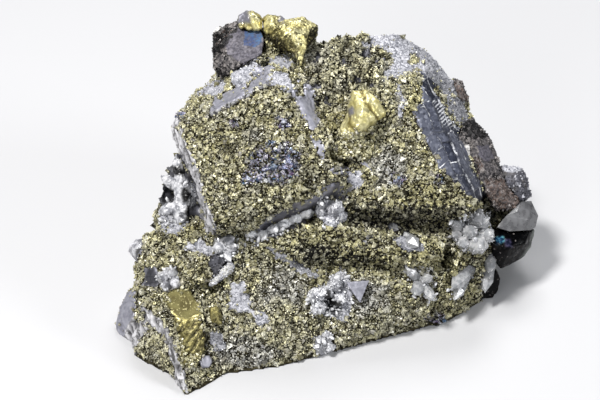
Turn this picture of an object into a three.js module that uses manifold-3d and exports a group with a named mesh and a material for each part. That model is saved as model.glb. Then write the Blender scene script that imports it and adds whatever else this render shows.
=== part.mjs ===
// Chalcopyrite on galena: one hand-sized piece of vein, grown together as it came out of the pocket.
//
// Blocks of galena make the mass, and a crust of chalcopyrite covers their fronts. Larger crystals of
// chalcopyrite, sphalerite and quartz stand in it, each seated in a socket of its own. The crusted
// front leans back, the back is a rough near-upright break, and a flat cleavage face is the foot.
//
// Millimetres, +Z up, +X to the right of the front, +Y towards the back. The origin is on the foot,
// below the middle of the whole piece.

import * as THREE from "three";
import { ConvexGeometry } from "three/addons/geometries/ConvexGeometry.js";
import { mergeVertices } from "three/addons/utils/BufferGeometryUtils.js";
import Module from "manifold-3d";

const wasm = await Module();
wasm.setup();

// ---- driving dimensions ----

const FRONT_LEAN = THREE.MathUtils.degToRad(35); // the front plane's normal looks up by this much
const FRONT_HEIGHT = 30.1; // height of the middle of the front plane over the foot
const SEAT_GAP = 0.3; // clearance between a seated crystal and what it sits in
const CRYSTAL_SIDES = 6; // quartz is six-sided
const POINT_SHARE = 0.34; // share of a quartz crystal's length that is its point
const GROUND_SIZE = 300; // size of the slab that the foot is cut with
const MERGE_DISTANCE = 1e-4; // corners closer than this are one corner

// ---- places ----

// Corners on the front are [across, up, out]: across it from the middle, up its slope, out from it.
function onFront([across, up, out]) {
  const sin = Math.sin(FRONT_LEAN);
  const cos = Math.cos(FRONT_LEAN);
  return new THREE.Vector3(across, up * sin - out * cos, up * cos + out * sin + FRONT_HEIGHT);
}

// Corners at the back are [x, y, z], measured from the foot.
function atBack([x, y, z]) {
  return new THREE.Vector3(x, y, z);
}

// The same ring of corners drawn in towards its middle and set deeper.
function deeper(ring, depth, share) {
  const middle = [0, 1, 2].map((axis) => ring.reduce((sum, corner) => sum + corner[axis], 0) / ring.length);
  return ring.map(([across, up, out]) => [
    middle[0] + (across - middle[0]) * share,
    middle[1] + (up - middle[1]) * share,
    out - depth,
  ]);
}

// ---- solids ----

// A closed three.js geometry as a solid that can be joined and cut.
function toSolid(geometry) {
  const bare = geometry.clone();
  bare.deleteAttribute("normal");
  bare.deleteAttribute("uv");
  const merged = mergeVertices(bare, MERGE_DISTANCE);
  return new wasm.Manifold(new wasm.Mesh({
    numProp: 3,
    vertProperties: new Float32Array(merged.attributes.position.array),
    triVerts: new Uint32Array(merged.index.array),
  }));
}

function hull(points) {
  return toSolid(new ConvexGeometry(points));
}

// The hull of the same points with the seat's clearance added all round.
function grownHull(points) {
  const grown = [];
  for (const point of points) {
    for (const x of [-SEAT_GAP, SEAT_GAP]) {
      for (const y of [-SEAT_GAP, SEAT_GAP]) {
        for (const z of [-SEAT_GAP, SEAT_GAP]) {
          grown.push(new THREE.Vector3(point.x + x, point.y + y, point.z + z));
        }
      }
    }
  }
  return hull(grown);
}

// A quartz crystal: a six-sided prism from its root to its shoulders, then a point.
function crystalPoints(root, tip, radius, clearance) {
  const foot = onFront(root);
  const peak = onFront(tip);
  const axis = peak.clone().sub(foot).normalize();
  const turn = new THREE.Quaternion().setFromUnitVectors(new THREE.Vector3(0, 0, 1), axis);
  const start = foot.clone().addScaledVector(axis, -clearance);
  const end = peak.clone().addScaledVector(axis, clearance * 2);
  const shoulder = end.clone().lerp(start, POINT_SHARE);
  const points = [end];
  for (let side = 0; side < CRYSTAL_SIDES; side += 1) {
    const angle = (side / CRYSTAL_SIDES) * Math.PI * 2;
    const reach = (radius + clearance) / Math.cos(Math.PI / CRYSTAL_SIDES);
    const corner = new THREE.Vector3(Math.cos(angle), Math.sin(angle), 0).multiplyScalar(reach);
    corner.applyQuaternion(turn);
    points.push(start.clone().add(corner), shoulder.clone().add(corner));
  }
  return points;
}

// A lump is one faceted solid: its face, its rim where it has one, and the same outline set deeper.
function lump({ face, rim = [], depth, share = 0.9 }) {
  const outline = rim.length > 0 ? rim : face;
  return {
    points: [
      ...face.map(onFront),
      ...rim.map(onFront),
      ...deeper(outline, depth, share).map(onFront),
    ],
  };
}

// A cluster is a set of crystals, each [root, tip, radius].
function cluster(crystals) {
  return crystals.map(([root, tip, radius]) => ({ root, tip, radius }));
}

function solidOf(shape) {
  return shape.points ? hull(shape.points) : hull(crystalPoints(shape.root, shape.tip, shape.radius, 0));
}

function socketOf(shape) {
  return shape.points
    ? grownHull(shape.points)
    : hull(crystalPoints(shape.root, shape.tip, shape.radius, SEAT_GAP));
}

function joined(shapes, make) {
  return shapes.map(make).reduce((whole, part) => whole.add(part));
}

// The one piece that stays when a cut leaves chips beside it.
function largestPiece(solid) {
  const pieces = solid.decompose();
  return pieces.reduce((best, piece) => (piece.volume() > best.volume() ? piece : best));
}

// ---- the galena mass ----

// The trunk carries everything else. Its front stays just under the blocks, its back is the break.
const trunk = {
  points: [
    ...[
      [-33, 24, -4], [-26, 29, -6], [-12, 35, -6], [3, 38.5, -10], [18, 41, -12], [27, 36, -13],
      [33, 28, -15], [38, 17, -17], [41, 4, -18], [43, -12, -17], [41, -23, -17], [29, -30, -9],
      [10, -34.5, -4], [-10, -39, 2], [-30, -43, 7], [-43, -38.5, 2], [-46, -30, -3], [-45, -15, -5],
      [-40, 0, -9], [-36, 13, -8],
    ].map(onFront),
    ...[
      [-25, 37, 49], [-8, 40, 51], [10, 38, 53], [24, 34, 50], [34, 29, 37], [42, 24, 20],
      [41, 25, -2], [22, 35, -2], [0, 38, -2], [-22, 35, -2], [-38, 25, -2], [-43, 17, 8],
      [-37, 27, 22], [-33, 32, 38],
    ].map(atBack),
  ],
};

// Cleavage steps on the break: blocks of one crystal, so their faces are all parallel.
const CLEAVAGE = new THREE.Quaternion().setFromEuler(new THREE.Euler(-0.1, 0.12, 0.2));
const backSteps = [
  { size: [26, 12, 24], middle: [-19, 32, 26] },
  { size: [20, 12, 30], middle: [5, 35.5, 30] },
  { size: [30, 10, 15], middle: [4, 35, 9] },
  { size: [20, 12, 22], middle: [25, 30, 27] },
  { size: [14, 12, 12], middle: [-33, 26, 9] },
  { size: [13, 12, 10], middle: [33, 25.5, 8] },
].map(({ size, middle }) => {
  const box = new THREE.BoxGeometry(...size).applyQuaternion(CLEAVAGE).translate(...middle);
  const points = [];
  for (let corner = 0; corner < box.attributes.position.count; corner += 1) {
    points.push(new THREE.Vector3().fromBufferAttribute(box.attributes.position, corner));
  }
  return { points };
});

// The big upper left block: a crusted face, with bare strips of galena sloping away all round it.
const upperLeftBlock = lump({
  face: [
    [-35.5, 18.5, 8.5], [-28, 21.5, 9.5], [-14.5, 29, 10.5], [-7.5, 27, 11.5], [-4.8, 20, 12],
    [-0.8, 10.5, 12.5], [4.8, 6.6, 12.5], [-2, 2.6, 13], [-12, -1.4, 13.2], [-20, -5.6, 13],
    [-27, -7.4, 12.5], [-30.5, 3, 11], [-34.5, 12, 9.5],
  ],
  rim: [
    [-38.6, 17.8, 1], [-37, 21.8, 0], [-30, 25, 3], [-22, 30, 2.5], [-14, 34.3, 2], [-9, 32.5, 4],
    [-3.5, 30, 4.5], [-2.3, 20, 6], [1, 12, 8], [6, 5, 7], [3, -0.5, 4], [-3, -3, 3], [-10, -6, 2.5],
    [-18, -9, 2.5], [-26, -9.5, 3], [-29.5, -6, 3], [-32.5, 2, 3], [-36.5, 11, 1],
  ],
  depth: 18,
  share: 0.85,
});

// The right block is set further back, and its right side is a bare cleavage face.
const rightBlock = lump({
  face: [
    [13.5, 30, 2.5], [24, 31.5, -0.5], [24.8, 25, 1.5], [25, 15, 3.5], [28, 10.5, 4], [31, 7, 4.5],
    [37.3, -0.5, 4.5], [36.5, -2.5, 5], [25, -1.6, 6.5], [15, -2.2, 7], [5, -1.8, 7], [4, 2, 6.5],
    [6, 8, 5], [9, 12, 4], [12, 20, 3],
  ],
  rim: [
    [24.5, 33, -3], [28, 30, -5.5], [28.7, 24.5, -5], [32.3, 15, -4.5], [35.3, 10, -4.5],
    [40, 3.5, -4.5], [40.3, 0.5, -4], [37.5, -4, -3], [31, -7.5, -4], [20, -7.5, -3.5],
    [12, -6.5, -2], [4, -5, 0], [2, 2, 2], [5, 10, 1], [11, 22, 0], [13, 31, -1],
  ],
  depth: 16,
});

// Rough ground between the two blocks, up to the top edge.
const upperMiddle = lump({
  face: [
    [-13, 35, -1], [-6, 34, 1], [-4, 31, 3], [-2.5, 26, 4.5], [0, 14, 4.5], [5, 9, 3.5], [10, 12, 3],
    [13, 20, 2.5], [14, 30, 1.5], [13, 36, -3], [12, 41.5, -8.5], [8, 40.5, -8.5], [3, 39.8, -8],
    [-0.5, 40, -7.5], [-12, 38, -5], [-15, 36, -3],
  ],
  depth: 14,
});

// Grey ground that the crystals on the crest are rooted in.
const crestGround = lump({
  face: [
    [-17, 44, -6.5], [-12, 44, -6.5], [-11.5, 36, -1.2], [-17, 34.6, -0.6], [-23, 32.6, -3],
    [-27.6, 31.6, -8], [-27.8, 38, -11], [-22, 43.4, -10],
  ],
  depth: 10,
  share: 0.9,
});

const topRight = lump({
  face: [
    [12, 42, -9], [13.5, 41.6, -9], [18.5, 42.4, -10], [22.5, 40.2, -10.5], [27, 37.4, -12],
    [30, 33.9, -12.5], [32.4, 30.9, -13], [29, 28, -8.5], [24.5, 30.5, -3.5], [14, 31, 0.5],
    [11.5, 37, -4],
  ],
  depth: 11,
});

// The far side of the right block: a second cleavage step, set back, down to the right end.
const farStep = lump({
  face: [
    [30.5, 29, -11], [32.5, 30.3, -13], [34.8, 29, -14.8], [36.8, 25, -15.5], [38.6, 20, -16],
    [36, 16, -11], [34.5, 16, -9.5], [31, 21, -6.5], [28.5, 25, -6.5],
  ],
  depth: 14,
});

const rightEnd = lump({
  face: [
    [34, 16, -10], [38, 19, -16.5], [41.5, 15, -18], [44, 9, -18.5], [46, 3, -18.5], [50, -3, -19],
    [51.5, -8, -20], [49.5, -13, -20], [45, -16, -18], [41, -15, -13], [38, -5, -9], [38, 4, -8],
  ],
  depth: 12,
  share: 0.85,
});

// Left shoulder beside the upper left block, and the boxwork ground below it.
const leftShoulder = lump({
  face: [
    [-38.7, 18, 0], [-37.4, 21.6, -2], [-35, 24.6, -4], [-33.5, 26.6, -5], [-30, 28.6, -6],
    [-28, 31, -8], [-24, 31, -5], [-21, 31, -1], [-22, 29, 1.5], [-29, 24, 4], [-36, 18, 4],
  ],
  depth: 16,
  share: 0.85,
});

const leftGround = lump({
  face: [
    [-41.2, -4, -6], [-42, 1, -6], [-40.8, 4, -6], [-38.8, 8, -6], [-37.4, 12.5, -6.5], [-34, 10, -2],
    [-31, 0, 0], [-30, -7, 1], [-36, -7, 1], [-44, -6.5, -4],
  ],
  depth: 12,
  share: 0.85,
});

// Lower left block, with a grey tail of cleavage beside it and the sharp corner below.
const lowerLeftBlock = lump({
  face: [
    [-47.2, -10.4, -3], [-44, -8, 1], [-36, -6.5, 4], [-29, -9, 5], [-26, -13, 6.5], [-28, -20, 7.5],
    [-33, -22, 8.5], [-40, -23.5, 7.5], [-47.3, -22, 2], [-48.1, -17, -2],
  ],
  depth: 20,
});

const greyTail = lump({
  face: [
    [-53.2, -31.5, -4], [-52, -27, -3], [-50, -22.8, -3], [-46.5, -21, 2], [-45.5, -30, 4.5],
    [-46, -33, 2.5], [-48, -38, -2], [-51.2, -35.5, -4.5],
  ],
  depth: 14,
  share: 0.85,
});

const sharpCorner = lump({
  face: [
    [-45.5, -27.3, 7], [-40, -31, 11.5], [-38, -35, 12.5], [-37, -42, 14.2], [-34.5, -47.6, 15.8],
    [-33, -47.4, 15.4], [-27.5, -44.6, 11.8], [-25, -42.8, 9.2], [-27, -36, 10.5], [-29, -28, 10],
    [-33, -22, 8.5], [-40, -23.3, 8.5],
  ],
  rim: [
    [-44, -31, 2], [-38.5, -38, 5], [-37, -43.3, 9.5], [-36.4, -45, 12], [-33.5, -47.8, 15.2],
    [-25, -43, 9], [-24, -30, 6], [-30, -20, 4], [-42, -22, 3],
  ],
  depth: 22,
});

// The dark side of the corner, turned away to the left.
const cornerSide = lump({
  face: [
    [-45.5, -28, 6], [-40, -31.6, 10], [-38, -36, 11], [-37, -42.8, 11.5], [-37.2, -43.5, 9.6],
    [-43, -41.4, 5.8], [-47.6, -39.6, 2.8], [-48.8, -36, -1], [-47.5, -31, 0],
  ],
  depth: 18,
});

// The ledge under the seam: it slopes out to a lit crest, then falls away underneath.
const ledge = lump({
  face: [
    [-22, -13, 7.4], [-8, -9.5, 8.4], [-4, -6, 7.4], [3, -8.5, 8.8], [10, -12, 8.4], [20, -14.5, 6.4],
    [28, -13, 3.8], [30, -10, 1.5],
  ],
  rim: [
    [-25, -9, 3], [-14, -9, 3], [-3, -3.5, 2], [4, -3.5, 0], [16, -6.5, -3], [31, -7.5, -4],
    [31, -16, -2], [20, -17.5, 0.6], [10, -16.8, 1.8], [-2, -15.8, 2.6], [-20, -17, 5],
  ],
  depth: 14,
});

// The lower face, from under the ledge down to the foot.
const lowerFace = lump({
  face: [
    [-26, -17, 7.3], [-12, -17.2, 6], [-3, -18.4, 4.8], [6, -19, 4.2], [15, -18.6, 2.8], [27, -18, 0],
    [-15, -30, 9.5], [0, -28, 7.5], [15, -26, 4], [26, -26, 0], [-27, -36, 10], [-25, -43, 9.2],
    [-20, -42.5, 8], [-12.5, -41.9, 6.8], [-5, -39.4, 3.8], [0, -38.6, 2.4], [15, -33.9, -4],
    [23.5, -31.2, -7], [29, -31.4, -7.5],
  ],
  depth: 24,
});

const lowerRight = lump({
  face: [
    [27, -17, -0.5], [31, -5, -3], [40, -2, -8], [43, -8, -11], [42.5, -15, -11], [43, -20, -13],
    [42.5, -24.5, -16], [40, -25, -14], [38, -25, -12.5], [35.3, -28.8, -10.5], [33, -29.2, -9.5],
    [28.5, -32.2, -7], [24, -29, -4], [33, -20, -2.5], [38, -19, -5.5],
  ],
  depth: 16,
});

// Deep places in the front: the crack on the right, gaps round the middle crystal, the boxwork holes.
const gaps = [
  {
    face: [[29.4, -9.2, 6], [33.2, -9.8, 4], [33, -14.6, 4], [30.2, -19.6, 4], [27.6, -18.6, 6]],
    depth: 11,
    share: 0.45,
  },
  {
    face: [[-0.4, 9.6, 14], [1.6, 13.6, 12], [5, 10.6, 12], [9, 11.4, 12], [3.4, 8.8, 13]],
    depth: 12,
    share: 0.5,
  },
  { face: [[4, 28.6, 8], [8.6, 30.2, 8], [9.6, 28, 8], [6, 26.4, 8]], depth: 9, share: 0.5 },
  { face: [[-2.6, 23, 9], [2.6, 22.4, 9], [3, 20.4, 9], [-1.6, 19.4, 9]], depth: 8, share: 0.4 },
  { face: [[-36.2, 9.4, 5], [-39.4, 6.6, 2], [-36.6, 5.4, 3], [-34.6, 7.2, 5]], depth: 11, share: 0.5 },
  { face: [[-41.4, 3, 0], [-39.8, -1.6, 2], [-38, -0.6, 3], [-38.6, 3.2, 2]], depth: 9, share: 0.5 },
  { face: [[-36, 2.6, 4], [-35.6, -1.4, 5], [-33.8, -1.6, 6], [-33.8, 2, 6]], depth: 9, share: 0.5 },
  {
    face: [[-1, -24, 10], [1.2, -20, 10], [4.6, -23, 10], [4, -28, 10], [0.6, -28.6, 10]],
    depth: 6,
    share: 0.5,
  },
].map(lump);

const massShapes = [
  trunk, ...backSteps, upperLeftBlock, rightBlock, upperMiddle, crestGround, topRight, farStep,
  rightEnd, leftShoulder, leftGround, lowerLeftBlock, greyTail, sharpCorner, cornerSide, ledge,
  lowerFace, lowerRight,
];

// ---- seated crystals ----

// Quartz came last, so its crystals are whole and cut into whatever they sit on.
const quartzNest = cluster([
  [[36.5, -7, -6], [38.9, -2.1, 0.5], 2.1],
  [[38, -6.5, -6], [41, -5, -0.5], 1.6],
  [[35, -8, -6], [32, -5.2, 1], 1.7],
  [[35, -8.6, -6], [31.8, -9, 1], 1.4],
  [[35.6, -9, -6], [34.2, -11.8, 2], 1.6],
  [[36.4, -8, -6], [36.2, -8, 3], 1.7],
  [[38, -9, -6], [38.6, -12.8, 2], 2.3],
  [[39, -8, -7], [42.2, -9.4, -0.5], 1.7],
]);

const quartzSeam = cluster([
  [[-17.2, -8, 0], [-19, -8.8, 6.4], 1.5],
  [[-15, -8, 0], [-15, -9.8, 7], 1.6],
  [[-12.6, -6.9, 0], [-12.4, -7.6, 7.4], 1.5],
  [[-10.2, -5.7, 0], [-10, -6.2, 7.4], 1.5],
  [[-7.8, -4.6, 0], [-7.4, -4.6, 7], 1.5],
  [[-5.4, -3.6, 0], [-4.4, -2.8, 6.4], 1.5],
]);

const quartzFan = cluster([
  [[-26.4, -11, 3], [-22.3, -9.2, 8], 1.4],
  [[-26.4, -11.2, 3], [-21.8, -12.4, 8.5], 1.3],
  [[-26.4, -11.6, 3], [-23.2, -15.2, 9.4], 1.3],
  [[-26.6, -11.4, 3], [-26, -12.2, 10], 1.5],
]);

const quartzJunction = cluster([
  [[1.5, -2.5, -1], [4.4, -4.4, 6.6], 1.8],
  [[1.5, -2.5, -1], [1.3, -6.9, 8], 1.6],
  [[1, -2, -1], [-1.4, -3.2, 7.4], 1.5],
  [[1, -2, -1], [-0.2, -0.2, 7.4], 1.5],
  [[2, -2.4, -1], [2.8, -1.8, 9], 1.8],
]);

const quartzPoint = cluster([
  [[14.4, -4.8, -5], [18.4, -7.8, 1.5], 1.2],
]);

const quartzLens = cluster([
  [[19.8, -9.4, 0], [23.2, -11.6, 6], 1.6],
]);

const quartzSpray = cluster([
  [[23.8, -20.5, -2], [20.2, -16.8, 3.5], 1.2],
  [[23.8, -20.5, -2], [26.8, -19, 3.5], 1.1],
  [[23.8, -20.5, -2], [27.3, -25.2, 3], 1.2],
  [[23.8, -20.5, -2], [22.2, -23.6, 5], 1.4],
]);

const quartzBlade = cluster([
  [[36.6, -17.6, -7], [31.5, -22.2, 1], 1.6],
  [[36, -18.4, -7.5], [32.4, -25.2, -0.5], 1.4],
]);

const quartzStrip = cluster([
  [[42.2, -14.6, -12], [41.4, -18.4, -7], 1.4],
  [[42, -15.4, -12.6], [40.6, -23.6, -8.4], 1.5],
]);

const quartzBoxwork = cluster([
  [[-36.2, -6, -1], [-36.6, 7.4, -1], 1.2],
  [[-35.6, -5.6, -0.4], [-34.4, 6, 1], 1.0],
  [[-36.2, 4.4, -1], [-37.4, 11.6, -2], 1.1],
  [[-37, 3.4, -3], [-41, 6, -3], 1.2],
  [[-36.4, -1.6, -2], [-41.6, -3, -2], 1.3],
]);

const quartzWhite = cluster([
  [[-38.6, -19.8, 2], [-41.3, -18.8, 9], 1.5],
  [[-38.6, -19.8, 2], [-37.6, -17, 9.5], 1.4],
  [[-38.6, -19.8, 2], [-36.4, -21.4, 10.4], 1.5],
  [[-38.6, -19.8, 2], [-39.4, -22.4, 10.4], 1.3],
]);

const quartzPocket = cluster([
  [[-0.8, -24, 2], [-3.2, -23.4, 10.4], 1.6],
  [[-0.8, -25, 2], [-2.6, -27.4, 10.4], 1.5],
  [[-0.4, -24, 2], [0.6, -22.2, 9.8], 1.3],
  [[0.6, -23, 1.4], [3.6, -18.6, 8.6], 1.3],
  [[0.6, -24.4, 1.4], [4.8, -25, 8.4], 1.2],
]);

const quartzBottom = cluster([
  [[-0.4, -35, -2], [0.6, -32.8, 7.4], 1.5],
  [[-0.4, -35.4, -2], [-2.4, -36.2, 6.4], 1.4],
  [[-0.2, -35.4, -2], [1.2, -36.6, 5.8], 1.5],
]);

const quartzVein = [lump({
  face: [
    [-22.6, -15.8, 8.3], [-23.4, -17.6, 9], [-26.4, -19.8, 9.5], [-28.7, -21.4, 9.3], [-28.2, -20.2, 9.1],
    [-25.8, -17.8, 8.9], [-23.8, -15.6, 8.2],
  ],
  depth: 6,
  share: 0.7,
})];

const quartzNodule = [lump({
  face: [
    [-49.6, -13, -5], [-49.3, -11.4, -5], [-47.6, -9.9, -5], [-45.8, -9.7, -3.5], [-45.2, -12, -1],
    [-47.2, -15.6, -3], [-47.4, -12.2, -0.6],
  ],
  depth: 7,
  share: 0.8,
})];

const quartzFlank = [lump({
  face: [
    [50.4, -0.4, -14], [53, -0.2, -15.5], [54.8, -4, -15.5], [54, -7, -14.5], [52.5, -7.7, -12.5],
    [47, -8, -10], [43.6, -7, -8.8], [46, -4.1, -9.5], [49, -3, -11], [52, -5, -11.5],
  ],
  depth: 7,
  share: 0.8,
})];

// Chalcopyrite crystals that stand clear of the crust.
const chalcopyriteKnobLeft = [lump({
  face: [
    [-21.6, 45.2, -3.5], [-21.4, 46.5, -4.5], [-20, 47.3, -5], [-17.2, 47.2, -5], [-15.8, 45.8, -4],
    [-15.9, 42.9, -1.2], [-19, 42.8, -1.6], [-21.2, 43.4, -2.8], [-18.5, 45.6, -0.6],
  ],
  depth: 7,
  share: 0.8,
})];

const chalcopyriteKnobRight = [lump({
  face: [
    [-15.4, 45.4, -4], [-14.4, 46.3, -4.8], [-12.5, 46.6, -5.2], [-10.4, 45.6, -4.8],
    [-11, 42.4, -2], [-14.8, 41.8, -1], [-13, 45, -1.6],
  ],
  depth: 7,
  share: 0.85,
})];

const chalcopyriteCrest = [
  lump({
    face: [
      [-13.9, 43.2, -2], [-13.6, 41, -0.5], [-12.8, 38.3, 1], [-9, 36.8, 2], [-5.2, 37, 2],
      [-4.4, 39, 1], [-1.7, 41.6, -2.5], [-1.9, 44, -4], [-5.5, 46, -4.5], [-9, 45.6, -4],
      [-11.5, 43.6, -1], [-7.5, 42.4, 2.6], [-9.8, 40, 3],
    ],
    depth: 9,
    share: 0.8,
  }),
  lump({ face: [[-8.6, 38, 2], [-5.4, 38, 2], [-5.8, 33.2, 4], [-7.4, 36, 4.2]], depth: 3, share: 0.8 }),
];

const chalcopyriteCentre = [
  lump({
    face: [
      [7.3, 26.8, 5], [9.9, 27.3, 4.5], [12.3, 25.2, 5.5], [14.7, 21.6, 6], [12.2, 18.7, 8],
      [9, 16.7, 8.5], [4.6, 14.7, 8], [3.8, 16.6, 7], [6, 20.4, 7], [7.6, 24, 6.4],
      [9.2, 22, 11], [11.6, 20.4, 10.5], [7.5, 17.6, 10.5],
    ],
    depth: 9,
    share: 0.8,
  }),
  lump({
    face: [
      [2, 11.6, 6.5], [3, 14, 7], [6, 15.4, 7.5], [9.5, 15.4, 6.5], [10.6, 12.6, 5.5], [8, 11.9, 6],
      [4.2, 10.4, 6.5],
    ],
    depth: 7,
    share: 0.8,
  }),
];

const chalcopyriteCorner = [
  lump({
    face: [
      [-40.4, -23.6, 9.5], [-36, -21.8, 9.5], [-33.4, -22.4, 10.1], [-31, -26, 11.75], [-30.6, -28.2, 12.6],
      [-34, -29.3, 12.5], [-37.2, -28.3, 11.6],
    ],
    depth: 8,
    share: 0.8,
  }),
  lump({
    face: [
      [-37, -28.8, 11.2], [-30.6, -28.4, 12], [-29.4, -33, 12.8], [-29.8, -36.4, 13.1], [-31.2, -39.6, 14],
      [-34.4, -41, 14.9], [-36.2, -32, 12.8], [-33.4, -32.6, 14.2],
    ],
    depth: 8,
    share: 0.8,
  }),
];

const chalcopyriteChip = [lump({
  face: [
    [-28.8, -27, 11], [-27, -26.5, 11], [-25.3, -28.6, 10.6], [-25.8, -30.2, 10.8], [-27.7, -29.7, 11.4],
  ],
  depth: 5,
  share: 0.8,
})];

// Small galena crystals that show bare among the crust.
const galenaPlate = [lump({
  face: [[5.1, -20.3, 7.4], [10.8, -19.9, 6.6], [8.6, -25.4, 7.2]],
  depth: 5,
  share: 0.7,
})];

const galenaCube = [lump({
  face: [[-28.9, -15.6, 8], [-27.4, -13.4, 7.7], [-24.9, -13.8, 8], [-24.7, -15, 9], [-27, -18.4, 9.4]],
  depth: 6,
  share: 0.8,
})];

const galenaButton = [lump({
  face: [
    [-30.9, -39.6, 13.6], [-30.2, -40.9, 13.9], [-28.6, -40.9, 13.6], [-27.8, -39.6, 13.2],
    [-28.5, -38.2, 13], [-30.2, -38.2, 13.3],
  ],
  depth: 5,
  share: 0.95,
})];

// Sphalerite: the mauve crystal on the crest, the brown flank, the black end and two small ones.
const sphaleriteCrest = [
  lump({
    face: [
      [-24.4, 44.4, -5], [-22, 44.8, -5], [-16.3, 43.9, -3], [-15.3, 40, -1], [-15.8, 36.3, 0.5],
      [-20, 34.3, 1], [-23.4, 32.4, 0.4], [-25.4, 35.8, -1],
    ],
    depth: 10,
    share: 0.85,
  }),
  lump({
    face: [
      [-27.5, 43.2, -6.6], [-23.6, 44.3, -5.4], [-23.6, 31.6, -1.2], [-26, 30.9, -3.4], [-28.1, 33, -7],
      [-28.3, 38, -7.4],
    ],
    depth: 9,
    share: 0.85,
  }),
];

const sphaleriteFlank = [
  lump({
    face: [
      [34.6, 18.8, -8.5], [36.5, 20.5, -11.5], [38.3, 20.8, -15], [40.2, 18, -15.5], [42.7, 15.5, -16],
      [44.2, 11.3, -16], [45, 8.6, -16], [45.5, 4, -13], [40.5, 3, -7.6], [37, 8.3, -7.2],
      [35, 11, -7.4], [33.9, 16, -7.8], [40.5, 10, -8.6],
    ],
    depth: 8,
    share: 0.85,
  }),
  lump({
    face: [
      [45, 8.4, -16], [50.2, 0.4, -15.5], [50.3, -2.2, -14.5], [47, -2.2, -11], [43.6, -2.4, -10],
      [40.6, 2.4, -8], [41, 6, -8.4], [45, 2, -8.8],
    ],
    depth: 8,
    share: 0.85,
  }),
];

const sphaleriteEdge = [lump({
  face: [
    [32.9, 30.9, -13.5], [35.1, 29.9, -14.5], [36.4, 27, -15], [37, 25.2, -15], [35.2, 25.4, -12],
    [33.4, 28.4, -11.8],
  ],
  depth: 6,
  share: 0.85,
})];

const sphaleriteBlack = [lump({
  face: [
    [42.4, -7.4, -9.5], [47, -8, -10.5], [52.5, -7.6, -13], [54, -7.2, -15.5], [53.1, -12, -16],
    [51.1, -14.7, -16], [49.4, -15.7, -15.5], [45, -17.5, -13], [42.7, -15, -10], [42.3, -11, -9],
    [47, -12, -8.2], [51, -11, -11],
  ],
  depth: 10,
  share: 0.85,
})];

const sphaleriteLower = [lump({
  face: [
    [41.4, -17.3, -9.6], [43.5, -17.1, -10.5], [44.8, -20, -12.5], [44.4, -23, -14],
    [43.2, -25.1, -15.6], [40.4, -25.3, -15], [39.6, -22, -11.4],
  ],
  depth: 7,
  share: 0.85,
})];

const galenaKnob = [lump({
  face: [
    [45, 8.6, -17], [47, 8.5, -16], [49.6, 8.4, -17], [51.2, 7.5, -17.5], [52.1, 5, -17.5],
    [53, 1.4, -17], [50.6, -1, -14.8], [46.6, 4.4, -13.2], [49.5, 5, -13],
  ],
  depth: 9,
  share: 0.85,
})];

// ---- assembly ----

const QUARTZ = { color: 0xc9cbd0, roughness: 0.3, metalness: 0 };
const GOLD = { color: 0xb8a860, roughness: 0.4, metalness: 0.8 };
const LEAD_GREY = { color: 0x85858f, roughness: 0.4, metalness: 0.7 };
const BLENDE = { color: 0x5a5048, roughness: 0.35, metalness: 0.2 };
const CRUST = { color: 0x87835f, roughness: 0.6, metalness: 0.5 };

// Listed from the last grown to the first: each is cut to clear those above it.
const seated = [
  ["quartz_nest", quartzNest, QUARTZ],
  ["quartz_seam", quartzSeam, QUARTZ],
  ["quartz_fan", quartzFan, QUARTZ],
  ["quartz_junction", quartzJunction, QUARTZ],
  ["quartz_point", quartzPoint, QUARTZ],
  ["quartz_lens", quartzLens, QUARTZ],
  ["quartz_spray", quartzSpray, QUARTZ],
  ["quartz_blade", quartzBlade, QUARTZ],
  ["quartz_strip", quartzStrip, QUARTZ],
  ["quartz_boxwork", quartzBoxwork, QUARTZ],
  ["quartz_white", quartzWhite, QUARTZ],
  ["quartz_pocket", quartzPocket, QUARTZ],
  ["quartz_bottom", quartzBottom, QUARTZ],
  ["quartz_vein", quartzVein, QUARTZ],
  ["quartz_nodule", quartzNodule, QUARTZ],
  ["quartz_flank", quartzFlank, QUARTZ],
  ["chalcopyrite_knob_left", chalcopyriteKnobLeft, GOLD],
  ["chalcopyrite_knob_right", chalcopyriteKnobRight, GOLD],
  ["chalcopyrite_crest", chalcopyriteCrest, GOLD],
  ["chalcopyrite_centre", chalcopyriteCentre, GOLD],
  ["chalcopyrite_corner", chalcopyriteCorner, GOLD],
  ["chalcopyrite_chip", chalcopyriteChip, GOLD],
  ["galena_plate", galenaPlate, LEAD_GREY],
  ["galena_cube", galenaCube, LEAD_GREY],
  ["galena_button", galenaButton, LEAD_GREY],
  ["galena_knob", galenaKnob, LEAD_GREY],
  ["sphalerite_crest", sphaleriteCrest, BLENDE],
  ["sphalerite_flank", sphaleriteFlank, BLENDE],
  ["sphalerite_edge", sphaleriteEdge, BLENDE],
  ["sphalerite_black", sphaleriteBlack, BLENDE],
  ["sphalerite_lower", sphaleriteLower, BLENDE],
];

// One named mesh, with its own origin at the middle of its box.
function meshOf(name, solid, finish) {
  const { vertProperties, triVerts } = solid.getMesh();
  const geometry = new THREE.BufferGeometry();
  geometry.setAttribute("position", new THREE.BufferAttribute(new Float32Array(vertProperties), 3));
  geometry.setIndex(new THREE.BufferAttribute(new Uint32Array(triVerts), 1));
  geometry.computeBoundingBox();
  const middle = geometry.boundingBox.getCenter(new THREE.Vector3());
  geometry.translate(-middle.x, -middle.y, -middle.z);
  geometry.computeVertexNormals();
  const mesh = new THREE.Mesh(geometry, new THREE.MeshStandardMaterial(finish));
  mesh.name = name;
  mesh.position.copy(middle);
  return mesh;
}

const ground = toSolid(new THREE.BoxGeometry(GROUND_SIZE, GROUND_SIZE, GROUND_SIZE)
  .translate(0, 0, -GROUND_SIZE / 2));

const specimen = new THREE.Group();

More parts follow.
